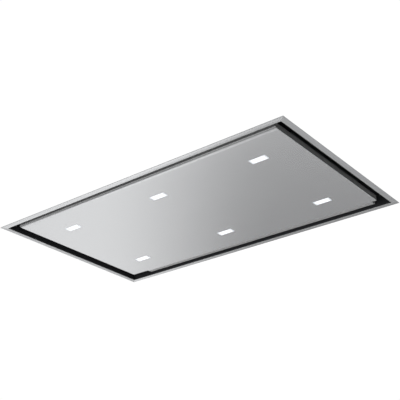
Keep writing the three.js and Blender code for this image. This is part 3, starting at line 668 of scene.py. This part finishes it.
def panel_edge(reach, degrees, bend, top):
    """A long edge's outer skin, from the flat outwards: Y, Z and the angle that the skin looks at.
    A gentle bend leads to a slope, and a tight bend to the wall."""
    turn = 270 + degrees
    sine, cosine = math.sin(math.radians(degrees)), math.cos(math.radians(degrees))
    gentle = arc((FLAT_Y, PANEL_Z + FIRST_RADIUS), FIRST_RADIUS, 270, turn, 6)
    slope = reach - FIRST_RADIUS * sine - bend * (1 - sine)
    foot_y, foot_z = gentle[-1][0] + slope, gentle[-1][1] + slope * sine / cosine
    tight = arc((foot_y - bend * sine, foot_z + bend * cosine), bend, turn, 360, 12)
    edge = [(y, z, 270 + degrees * i / 6) for i, (y, z) in enumerate(gentle)]
    edge += [(y, z, turn + (90 - degrees) * i / 12) for i, (y, z) in enumerate(tight)]
    return edge + [(FLAT_Y + reach, top, 360)]


def panel_section():
    """The panel's outer skin across the hood, from the front wall's top to the rear wall's."""
    lamp_y = abs(centre_of(LAMP_NODES[0]).y)
    stops = (FLAT_Y - REAR_RELIEF["depth"], lamp_y - WINDOW[1], lamp_y + WINDOW[1])
    flat = [(y, PANEL_Z, 270) for y in sorted(side * y for side in SIDES for y in stops)]
    front = [(-y, z, 540 - angle) for y, z, angle in reversed(panel_edge(**FRONT_EDGE))]
    return front + flat + panel_edge(**REAR_EDGE)


def panel_length():
    """The panel's lines along the hood: X, how far the skin is drawn in there, and whether it is the
    top of an end flange."""
    end = PANEL_HIGH.x
    fold = [(x, inset, False) for x, inset in arc((end - END_BEND, END_BEND), END_BEND, 270, 360, 5)]
    fold.append((end, END_BEND, True))
    lamp_x = centre_of(LAMP_NODES[-1]).x
    stops = {x + side * WINDOW[0] for x in (-lamp_x, 0, lamp_x) for side in SIDES}
    stops |= {REAR_RELIEF["left"] - end, end - REAR_RELIEF["right"]}
    flat = [(x, 0.0, False) for x in sorted(stops)]
    return [(-x, *rest) for x, *rest in reversed(fold)] + flat + fold


def in_window(x, y):
    centres = [centre_of(node) for node in LAMP_NODES]
    return any(abs(x - c.x) < WINDOW[0] and abs(y - c.y) < WINDOW[1] for c in centres)


def in_relief(x, y):
    if y < FLAT_Y - REAR_RELIEF["depth"]:
        return False
    return x < REAR_RELIEF["left"] - PANEL_HIGH.x or x > PANEL_HIGH.x - REAR_RELIEF["right"]


def panel_skin(mesh):
    """The panel's outer face: curved along both long edges, folded square at both ends, with two
    rear corners cut back and six windows."""
    across, along = panel_section(), panel_length()
    grid = {}
    for i, (x, inset, is_top) in enumerate(along):
        for j, (y, z, angle) in enumerate(across):
            y -= inset * math.cos(math.radians(angle))
            z -= inset * math.sin(math.radians(angle))
            grid[i, j] = mesh.verts.new((x, y, PANEL_HIGH.z if is_top else z))
    for i, j in [(i, j) for i in range(len(along) - 1) for j in range(len(across) - 1)]:
        x = (along[i][0] + along[i + 1][0]) / 2
        y = (across[j][0] + across[j + 1][0]) / 2
        if not in_relief(x, y) and not in_window(x, y):
            mesh.faces.new((grid[i, j], grid[i, j + 1], grid[i + 1, j + 1], grid[i + 1, j]))
    bmesh.ops.delete(mesh, geom=[v for v in mesh.verts if not v.link_faces], context="VERTS")
    bmesh.ops.remove_doubles(mesh, verts=mesh.verts, dist=0.01)
    bmesh.ops.dissolve_degenerate(mesh, edges=mesh.edges, dist=0.001)
    bmesh.ops.recalc_face_normals(mesh, faces=mesh.faces)
    middle = min(mesh.faces, key=lambda face: face.calc_center_median().length)
    if middle.normal.z > 0:
        bmesh.ops.reverse_faces(mesh, faces=mesh.faces)
    for face in mesh.faces:
        on_rear_slope = face.calc_center_median().y > FLAT_Y + 1
        face.material_index = int(face.normal.z > STEEP or on_rear_slope)


def perimeter_panel():
    """The hinged panel: a sheet that gets its thickness from its outer skin."""
    mesh = bmesh.new()
    panel_skin(mesh)
    round_window_corners(mesh)

    def thicken(helper):
        solid = helper.modifiers.new("sheet", "SOLIDIFY")
        solid.thickness = SHEET
        solid.offset = -1
        solid.use_even_offset = True

    sheet = bmesh.new()
    sheet.from_mesh(evaluated_mesh(as_data(mesh, "panel_skin"), thicken))
    finishes = [STAINLESS_X, LINISHED]
    replace_node("perimeter_panel", sheet, "brushed_panel", radius=0.25, materials=finishes)


def round_window_corners(mesh):
    """Rounds the corners of the windows and of the two cut-back corners."""
    corners = [
        v
        for v in mesh.verts
        if v.is_boundary and len(v.link_faces) == 3 and abs(v.co.z - PANEL_Z) < 0.01
    ]
    bmesh.ops.bevel(mesh, geom=corners, offset=0.8, segments=3, profile=0.5, affect="VERTICES")


LENS_EDGE = 0.4
GLOW_FADE = (11.0, 4.5)  # over which the light comes up from the window's edges, along X and Y


def lamp_lens(node):
    """An opal lens: a lit window with a soft edge, and a rim behind the panel."""
    low, high = size_of(node)
    (x, y), (rim_x, rim_y) = ((low + high) / 2).xy, ((high - low) / 2).xy
    half_x, half_y = WINDOW[0] - GAP, WINDOW[1] - GAP
    rim_bottom = PANEL_FLOOR + GAP
    fades = [(part * GLOW_FADE[0], part * GLOW_FADE[1]) for part in (1, 0.7, 0.4)]
    rings = [rectangle(half_x - i, half_y - j, low.z, 0.6, 4, (x, y)) for i, j in fades]
    edge = arc((LENS_EDGE, low.z + LENS_EDGE), LENS_EDGE, 270, 180, 3)
    rings += [rectangle(half_x - i, half_y - i, z, 0.8 - i / 2, 4, (x, y)) for i, z in edge]
    rings.append(rectangle(half_x, half_y, rim_bottom, 0.8, 4, (x, y)))
    rings += [rectangle(rim_x, rim_y, z, 3, 4, (x, y)) for z in (rim_bottom, high.z)]
    mesh = bmesh.new()
    bridge(mesh, rings)
    tidy(mesh)
    glow = mesh.verts.layers.float.new("glow")
    for vert in mesh.verts:
        from_end = (half_x - abs(vert.co.x - x)) / GLOW_FADE[0]
        from_side = (half_y - abs(vert.co.y - y)) / GLOW_FADE[1]
        vert[glow] = max(0, min(1, from_end, from_side))
    replace_node(node, mesh)


trim_frame()
perimeter_panel()
for lens_node in LAMP_NODES:
    lamp_lens(lens_node)

# ---------------- pieces with their own shape


def motor_box_cover():
    """The folded cover of the motor box, with a swaged groove round its top."""
    low, high = size_of("motor_box_cover")
    top, sheet = high.z, high.z - (size_of("motor_box")[1].z + GAP)
    groove = [(28, 0), (30.5, -0.3), (32.5, -1.8), (37.5, -1.8), (39.5, -0.3), (42, 0)]
    outer = [(0, low.z), (0, top - 2), (0.6, top - 0.6), (2, top)]
    outer += [(inset, top + drop) for inset, drop in groove]
    inner = [(inset, top - sheet + drop) for inset, drop in reversed(groove)]
    inner += [(sheet + 0.5, top - sheet), (sheet, top - sheet - 0.5), (sheet, low.z)]
    mesh = bmesh.new()
    rings = [rectangle(high.x - i, high.y - i, z, max(3 - i, 0.5)) for i, z in inner + outer]
    bridge(mesh, rings)
    replace_node("motor_box_cover", tidy(mesh), radius=0.2)


def duct_collar():
    """The moulded outlet collar: a flange, a tube with three grip ribs for the duct, and a smooth
    bore. It is turned about an axis along X."""
    low, high = size_of("duct_collar")
    centre = centre_of("duct_collar")
    flange, tube, bore, length = (high.z - low.z) / 2, 75.0, 73.0, high.x - low.x
    section = [(0, bore), (0, flange - 0.5), (0.5, flange), (2, flange), (2.5, flange - 0.5)]
    section += [(2.5, tube + 0.2), (3.3, tube - 0.6)]
    for x in (14, 30, 46):
        section += [(x - 1.6, tube - 0.6), (x - 0.8, tube), (x + 0.8, tube), (x + 1.6, tube - 0.6)]
    section += [(length - 1.2, tube - 0.6), (length, tube - 1.2), (length, bore)]
    matrix = Matrix.Translation((low.x, centre.y, centre.z)) @ Matrix.Rotation(math.pi / 2, 4, "Y")
    mesh = bmesh.new()
    bridge(mesh, [circle(radius, x, 96) for x, radius in section], matrix, closed=True)
    replace_node("duct_collar", tidy(mesh))


LONG_WAY = 12.0  # of one diamond of the mesh, along X
SHORT_WAY = 6.0


def filter_pads():
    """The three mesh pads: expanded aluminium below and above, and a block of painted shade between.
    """
    low, high = size_of("filter_mesh_2")
    size = high - low
    steps = 2 * round(size.x / LONG_WAY)
    rows = round(size.y / (SHORT_WAY / 2))
    counts = {"Rows": rows, "Steps": steps, "Step": size.x / steps, "Pitch": size.y / (rows + 0.5)}
    strand = {"Strand width": 1.3, "Strand thickness": 0.6, "Material": EXPANDED_MESH}
    sheet = grow(EXPANDED, bpy.data.meshes.new("no_points"), {**counts, **strand})
    for n in (1, 2, 3):
        node = f"filter_mesh_{n}"
        centre = centre_of(node)
        mesh = bmesh.new()
        for z in (low.z + 0.8, high.z - 0.8):
            layer = sheet.copy()
            layer.transform(Matrix.Translation((centre.x, centre.y, z)))
            mesh.from_mesh(layer)
            bpy.data.meshes.remove(layer)
        x, y = ((c - half, c + half) for c, half in zip(centre.xy, size.xy / 2))
        # the middle block is painted dark, as painted shade for the layers in shadow
        for face in block(mesh, x, y, (low.z + 2, high.z - 2)):
            face.material_index = 1
        replace_node(node, mesh, materials=[EXPANDED_MESH, PAD_CORE_PAINTED_SHADE])


motor_box_cover()
duct_collar()
filter_pads()

# ---------------- CAD pieces that keep their shape

EDGE_RADIUS = {
    "galvanised_steel": 0.35,
    "black_powder_coat": 0.5,
    "filter_aluminium": 0.8,
    "lamp_aluminium": 0.6,
    "black_plastic": 0.6,
    "grey_plastic": 0.4,
    "bright_steel": 0.5,
}
FOLDED = {"cabinet_shell", "motor_box", "electronics_box", "electronics_cover"}
SKIRT_BOTTOM = 0.8  # the black skirt hides the trim frame's lip down to its fold


def lengthen_skirt(mesh):
    """Brings the lower edge of the suction tray's skirt down behind the trim frame's lip."""
    for vert in mesh.verts:
        if vert.co.z < TRAY_LOW.z + 0.1:
            vert.co.z = SKIRT_BOTTOM


for node_name in sorted(set(frame["nodes"]) - FINISHED):
    finished_mesh = copy_of(node_name)
    if node_name == "suction_tray":
        lengthen_skirt(finished_mesh)
    if node_name in FOLDED:
        sheet_bends(finished_mesh, 1.8)
    replace_node(node_name, finished_mesh, radius=EDGE_RADIUS[SLOT_OF_NODE[node_name]])

# ---------------- small pieces

CABINET_TOP = size_of("cabinet_shell")[1].z
BEAD = [(0, -0.3), (0.8, 0.1), (2.2, 1.0), (3.8, 2.0), (5.6, 2.5)]  # a swage's inset and height
BEAD_HALF = 7  # half its width


def add_bead(mesh, point, way, half_x, half_y):
    """A round-ended stiffening bead, pressed outwards in a sheet's face."""
    end = min(half_x, half_y) - 0.05
    rings = [rectangle(half_x - i, half_y - i, z, end - i, 6) for i, z in BEAD]
    bridge(mesh, rings, on_face(point, way))


def cabinet_beads():
    """Beads across the cabinet's top, where nothing stands on it."""
    mesh = bmesh.new()
    for x in (350, 420):
        add_bead(mesh, (x, 0, CABINET_TOP), UP, BEAD_HALF, 205)
    along = [(-400, 205, 90), (-400, 245, 90), (-400, -240, 90), (-30, 270, 190), (-30, -270, 190)]
    for x, y, half in along:
        add_bead(mesh, (x, y, CABINET_TOP), UP, half, BEAD_HALF)
    add_piece("cabinet_beads", tidy(mesh), "hood_body", "galvanised_steel")


def motor_box_beads():
    """Upright beads in the motor box's walls, and a knock-out for a lead beside the outlet."""
    low, high = size_of("motor_box_cover")
    wall_x, wall_y = high.x - SHEET - GAP, high.y - SHEET - GAP
    middle = (size_of("motor_box")[0].z + low.z) / 2 + 2
    mesh = bmesh.new()
    beads = [(x, side * wall_y, (0, side, 0)) for x in (-160, -55, 55, 160) for side in SIDES]
    beads += [(-wall_x, y, WEST) for y in (-110, 0, 110)] + [(wall_x, -65, EAST)]
    for x, y, way in beads:
        add_bead(mesh, (x, y, middle), way, BEAD_HALF, 62)
    knock_out = [(11, -0.3), (11, 0.5), (10.4, 0.9), (9.2, 0.9), (8.8, 0.3)]
    place = on_face((wall_x, -140, middle - 25), EAST)
    bridge(mesh, [circle(r, z, 32) for r, z in knock_out], place)
    add_piece("motor_box_beads", tidy(mesh), "hood_body", "galvanised_steel")


FILTER_XS = [centre_of(f"filter_frame_{n}").x for n in (1, 2, 3)]
FILTER_UNDER = size_of("filter_frame_1")[0].z
FILTER_HALF = (170.0, 200.0)  # half sizes of a filter's frame, without its rear pegs
FILTER_SLACK = 2.2  # round a filter, to the rim of its opening in the tray
RAIL = 18.0  # width of a filter's side and rear rails
RAIL_X, RAIL_Y = FILTER_HALF[0] - RAIL / 2, FILTER_HALF[1] - RAIL / 2  # their middles
LATCH_RAIL = 45.0  # width of the front rail, which holds the latch
JOINT_DEPTH = (-0.04, 0.1)  # a joint line's bottom and top, from the rails' face


def filter_places(shift_x, y):
    """Mirrored pairs of X and Y places on each of the three filters."""
    return [(centre + side * shift_x, y) for centre in FILTER_XS for side in SIDES]


def filter_opening_rims():
    """A small folded rim round each of the tray's three filter openings."""
    fold = [(0, 0), (0, -1.4), (0.6, -1.8), (2.2, -1.8), (2.8, -1.4), (2.8, 0)]
    mesh = bmesh.new()
    half_x, half_y = FILTER_HALF[0] + FILTER_SLACK, FILTER_HALF[1] + FILTER_SLACK
    for x in FILTER_XS:
        sizes = [(half_x + out, half_y + out, TRAY_PLATE + z) for out, z in fold]
        bridge(mesh, [rectangle(*size, centre=(x, 0)) for size in sizes], closed=True)
    add_piece("filter_opening_rims", tidy(mesh), "hood_body", "black_powder_coat")


def filter_joints():
    """The joint lines of the filters' rails: mitred behind, butted in front by the wide rail."""
    mesh = bmesh.new()
    for x, side in [(x, side) for x in FILTER_XS for side in SIDES]:
        mitre = Matrix.Translation((x + side * RAIL_X, RAIL_Y, FILTER_UNDER))
        mitre @= Matrix.Rotation(side * math.radians(45), 4, "Z")
        bridge(mesh, [rectangle(12.2, 0.2, z) for z in JOINT_DEPTH], mitre)
        butt = Matrix.Translation((x + side * RAIL_X, LATCH_RAIL - FILTER_HALF[1], FILTER_UNDER))
        bridge(mesh, [rectangle(8.6, 0.2, z) for z in JOINT_DEPTH], butt)
    add_piece("filter_joints", tidy(mesh), "hood_body", "black_powder_coat")


LATCH_TAB = 33.3  # from the tip of a latch's tongue to the face of its finger tab


def latch_grips():
    """Three grip ribs across each latch's finger tab."""
    for n in (1, 2, 3):
        node = f"filter_latch_{n}"
        x, low = centre_of(node).x, size_of(node)[0]
        across = (low.y + LATCH_TAB - 0.5, low.y + LATCH_TAB + 0.3)
        mesh = bmesh.new()
        for z in (1.0, 3.0, 5.0):
            block(mesh, (x - 17, x + 17), across, (low.z + z, low.z + z + 0.8))
        add_piece(f"filter_latch_grip_{n}", tidy(mesh), node, "black_plastic", radius=0.2)


CLIP_SHEET = 1.0  # spring steel of the lamps' clips
LAMP_AT = [(centre_of(node).x, centre_of(node).y) for node in LAMP_NODES]


def lamp_clips():
    """Two spring clips on each lamp: a foot on the panel, an upright and a hook over the housing."""
    foot = PANEL_FLOOR + CLIP_SHEET
    outline = [(33, PANEL_FLOOR), (23.3, PANEL_FLOOR), (23.3, 15.2), (21.2, 15.2), (21.2, 16.2)]
    outline += [(24.3, 16.2), (24.3, foot), (33, foot)]
    mesh = bmesh.new()
    for x, y in LAMP_AT:
        for side in SIDES:
            bar_along_x(mesh, [(y + side * out, z) for out, z in outline], x - 9, x + 9)
    add_piece("lamp_clips", tidy(mesh), "hinged_panel", "bright_steel", radius=0.25)


def driver_lid():
    """The driver's lid, a shallow pressing with soft corners."""
    top, centre = size_of("led_driver")[1].z, centre_of("led_driver").xy
    rings = [(0, -0.2), (0, 0.5), (0.5, 1.0), (2, 1.0), (3, 0.4)]
    mesh = bmesh.new()
    bridge(mesh, [rectangle(76 - i, 18 - i, top + z, 4 - i, centre=centre) for i, z in rings])
    add_piece("led_driver_lid", tidy(mesh), "hood_body", "lamp_aluminium")


cabinet_beads()
motor_box_beads()
filter_opening_rims()
filter_joints()
latch_grips()
lamp_clips()
driver_lid()

# ---------------- screws and rivets

BOX_FOOT_TOP = size_of("motor_box")[0].z + SHEET
BOX_COVER = size_of("motor_box_cover")[1]
ELECTRICS = centre_of("electronics_cover")
ELECTRICS_TOP = size_of("electronics_cover")[1].z
DRIVER = centre_of("led_driver")
HINGES = [centre_of(f"hinge_pin_{side}") for side in ("left", "right")]
CATCHES = [centre_of(f"catch_housing_{side}") for side in ("left", "right")]
HINGE_PLATE = 2.0  # steel of the hinges and the catches' strikers
HANGER_FOOT = (500, 285)  # X and Y of the hangers' feet
BOX_FOOT = (248, 218)  # X and Y of the screws in the motor box's foot
TRAY_ROW, HINGE_ROW, CATCH_ROW = 318, 278, -272  # Y of the screws under the tray's plate
LEAF_ROWS, STRIKER_ROW = (259, 276), -257  # Y of the rivets on the panel
CLIP_RIVET = 28.7  # from a lamp's middle


def cabinet_rivets():
    """A row of rivets along each end, through the top sheet into the end's flange."""
    x = size_of("cabinet_shell")[1].x - 8
    return [((side * x, y, CABINET_TOP), UP) for side in SIDES for y in range(-300, 301, 60)]


def hanger_rivets():
    """Two rivets on the foot of each hanger."""
    top = size_of("hanger_bracket_left_front")[0].z + 2.5
    feet = [(side * HANGER_FOOT[0], row * HANGER_FOOT[1]) for side in SIDES for row in SIDES]
    return [((x, y + shift, top), UP) for x, y in feet for shift in (-12, 12)]


def tray_screws():
    """Screws along both long sides of the tray's plate."""
    columns = range(-525, 526, 175)
    return [((x, side * TRAY_ROW, TRAY_PLATE), DOWN) for x in columns for side in SIDES]


def filter_rivets():
    """A rivet at each corner of the filters' frames, beside the rear corners' mitres."""
    places = filter_places(RAIL_X + 3, 187) + filter_places(RAIL_X, -178)
    return [((x, y, FILTER_UNDER), DOWN) for x, y in places]


def hinge_screws():
    """Two screws up through the base of each fixed hinge half."""
    under = size_of("hinge_bracket_left")[1].z - HINGE_PLATE
    return [((h.x + shift, HINGE_ROW, under), DOWN) for h in HINGES for shift in (-12, 12)]


def catch_screws():
    """Two screws up through each catch."""
    under = size_of("catch_housing_left")[0].z
    return [((c.x + shift, CATCH_ROW, under), DOWN) for c in CATCHES for shift in (-15.5, 15.5)]


def panel_rivets():
    """Rivets of the hinge leaves, the strikers and the lamps' clips, on the panel's floor."""
    on_plate = PANEL_FLOOR + GAP + HINGE_PLATE
    places = [(h.x + x, y, on_plate) for h in HINGES for x in (-9, 9) for y in LEAF_ROWS]
    places += [(c.x + x, STRIKER_ROW, on_plate) for c in CATCHES for x in (-9, 9)]
    foot = PANEL_FLOOR + CLIP_SHEET
    places += [(x, y + side * CLIP_RIVET, foot) for x, y in LAMP_AT for side in SIDES]
    return [(place, UP) for place in places]


def box_foot_screws():
    """Hexagon screws along the motor box's foot."""
    places = [(x, side * BOX_FOOT[1]) for x in range(-200, 201, 100) for side in SIDES]
    places += [(side * BOX_FOOT[0], y) for side in SIDES for y in (-180, -60, 180)]
    return [((x, y, BOX_FOOT_TOP), UP) for x, y in places]


def cover_screws():
    """Screws through the skirt of the motor box's cover."""
    x, y, z = BOX_COVER.x, BOX_COVER.y, BOX_COVER.z - 11
    places = [((i, side * y, z), (0, side, 0)) for i in (-180, 0, 180) for side in SIDES]
    return places + [((side * x, i, z), (side, 0, 0)) for i in (-130, 130) for side in SIDES]


def electrics_screws():
    """Screws at the corners of the electronics cover, and at both ends of the driver."""
    corners = [(x, y) for x in (-90, 90) for y in (-65, 65)]
    places = [((ELECTRICS.x + x, ELECTRICS.y + y, ELECTRICS_TOP), UP) for x, y in corners]
    foot_top = size_of("led_driver")[0].z + 2
    return places + [((DRIVER.x + x, DRIVER.y, foot_top), UP) for x in (-88, 88)]


add_fasteners("cabinet_rivets", RIVET, cabinet_rivets() + hanger_rivets(), "hood_body")
add_fasteners("tray_screws", PAN_SCREW, tray_screws(), "hood_body", "black_powder_coat", 2)
add_fasteners("filter_rivets", RIVET, filter_rivets(), "hood_body", seed=3)
add_fasteners("hinge_screws", PAN_SCREW, hinge_screws() + catch_screws(), "hood_body", seed=4)
add_fasteners("panel_rivets", RIVET, panel_rivets(), "hinged_panel", seed=5)
add_fasteners("box_foot_screws", HEX_SCREW, box_foot_screws(), "hood_body", seed=6)
add_fasteners("cover_screws", PAN_SCREW, cover_screws() + electrics_screws(), "hood_body", seed=7)

for shape in TEMPLATES:
    bpy.data.objects.remove(shape)

# ---------------- stage and light

BOARD_UNDERSIDE = 3.2 * MM  # the ceiling board lies on the trim frame's hem
BOARD_THICKNESS = 12.5 * MM
CUT_OUT = (1.174, 0.674)
BOARD_SIZE = 60.0


def white_ground():
    """The ceiling as the photograph shows it: pure white."""
    material = bpy.data.materials.new("white_ground")
    material.use_nodes = True
    tree = material.node_tree
    tree.nodes.clear()
    light = add_node(tree, "ShaderNodeEmission", {"Strength": 1.02})
    add_node(tree, "ShaderNodeOutputMaterial", {"Surface": light})
    return material


def pale_emulsion():
    """Matt white emulsion paint on plasterboard, with a faint roller mottle."""
    material = new_material("pale_emulsion", {})
    mottle = grain(material, (300, 300, 300), 2.0)
    return vary(material, mottle, ("#E4E4E3", "#ECECEB"), (0.85, 0.95))


def ceiling_board():
    """A plasterboard ceiling with the hood's cut-out: the white ground behind the hood as seen from
    below, and the pale floor that its cabinet stands on as seen from above."""
    low, high = BOARD_UNDERSIDE, BOARD_UNDERSIDE + BOARD_THICKNESS
    outer, inner = (BOARD_SIZE / 2,) * 2, (CUT_OUT[0] / 2, CUT_OUT[1] / 2)
    mesh = bmesh.new()
    loops = ((outer, low), (inner, low), (inner, high), (outer, high))
    sides = bridge(mesh, [rectangle(*half, z) for half, z in loops], closed=True)
    for face in sides[:4]:  # the underside comes first
        face.material_index = 1
    data = as_data(tidy(mesh), "ceiling_board")
    data.materials.append(pale_emulsion())
    data.materials.append(white_ground())
    board = bpy.data.objects.new("ceiling_board", data)
    bpy.context.scene.collection.objects.link(board)


def area_light(name, place, target, size, power):
    light = bpy.data.lights.new(name, "AREA")
    light.shape = "RECTANGLE"
    light.size, light.size_y = size
    light.energy = power
    lamp = bpy.data.objects.new(name, light)
    lamp.location = place
    lamp.rotation_euler = (Vector(target) - Vector(place)).to_track_quat("-Z", "Y").to_euler()
    bpy.context.scene.collection.objects.link(lamp)


# The studio round the hood. Below it a bright side on the picture's left fades to a dim side on its
# right, the far wall is brighter than the near one, and a lamp strip hangs low by the far wall.
# Above it there is a soft even sky.
LEFT_OF_PICTURE = (-0.78, -0.62, 0.0)
SIDE_FADE = {"From Min": -0.05, "From Max": 0.10, "To Min": 0.44, "To Max": 1.45}
FAR_FADE = {"From Min": 0.18, "From Max": 0.54, "To Min": 0.10, "To Max": 1.0}
NEAR_FADE = {"From Min": -0.25, "From Max": -0.7, "To Min": 0.12, "To Max": 0.7}
HORIZON_FADE = {"From Min": -0.25, "From Max": 0.0, "To Min": 1.0, "To Max": 0.9}
STRIP_FADE = {"From Min": 0.015, "From Max": 0.045, "To Min": 1.9, "To Max": 0.0}
STRIP_HEIGHT = -0.595
UP_FADE = {"From Min": -0.04, "From Max": 0.12}
SKY = 0.98
BACKDROP = 0.87  # what the camera sees beyond the ceiling board, as bright as the board's top


def studio_world():
    world = bpy.data.worlds.new("studio")
    bpy.context.scene.world = world
    world.use_nodes = True
    tree = world.node_tree
    tree.nodes.clear()
    node = partial(add_node, tree)
    way = node("ShaderNodeTexCoord").outputs["Generated"]
    _, y, z = node("ShaderNodeSeparateXYZ", {"Vector": way}).outputs

    to_left = {0: way, 1: LEFT_OF_PICTURE}
    left = node("ShaderNodeVectorMath", to_left, operation="DOT_PRODUCT").outputs["Value"]
    side = node("ShaderNodeMapRange", {"Value": left, **SIDE_FADE})
    far = node("ShaderNodeMapRange", {"Value": y, **FAR_FADE})
    near = node("ShaderNodeMapRange", {"Value": y, **NEAR_FADE})
    wall = node("ShaderNodeMath", {0: far, 1: near}, operation="MAXIMUM")
    lit_wall = node("ShaderNodeMath", {0: side, 1: wall}, operation="MULTIPLY")
    horizon = node("ShaderNodeMapRange", {"Value": z, **HORIZON_FADE})
    room = node("ShaderNodeMath", {0: lit_wall, 1: horizon}, operation="MULTIPLY")
    above_strip = node("ShaderNodeMath", {0: z, 1: STRIP_HEIGHT}, operation="SUBTRACT")
    from_strip = node("ShaderNodeMath", {0: above_strip}, operation="ABSOLUTE")
    glow = node("ShaderNodeMapRange", {"Value": from_strip, **STRIP_FADE})
    strip = node("ShaderNodeMath", {0: glow, 1: far}, operation="MULTIPLY")
    below = node("ShaderNodeMath", {0: room, 1: strip}, operation="ADD")
    up = node("ShaderNodeMapRange", {"Value": z, **UP_FADE})
    studio = node("ShaderNodeMix", {0: up, 2: below, 3: SKY})
    seen = node("ShaderNodeLightPath").outputs["Is Camera Ray"]
    shown = node("ShaderNodeMix", {0: seen, 2: studio, 3: BACKDROP})
    light = node("ShaderNodeBackground", {"Strength": shown})
    node("ShaderNodeOutputWorld", {"Surface": light})


ceiling_board()
studio_world()
area_light("key_above", (1.8, -1.6, 2.4), (0, 0, 0.1), (1.6, 1.6), 26)
area_light("fill_above", (-2.4, 1.6, 1.6), (0, 0, 0.1), (2.0, 2.0), 8)
bpy.context.scene.view_settings.view_transform = "Standard"
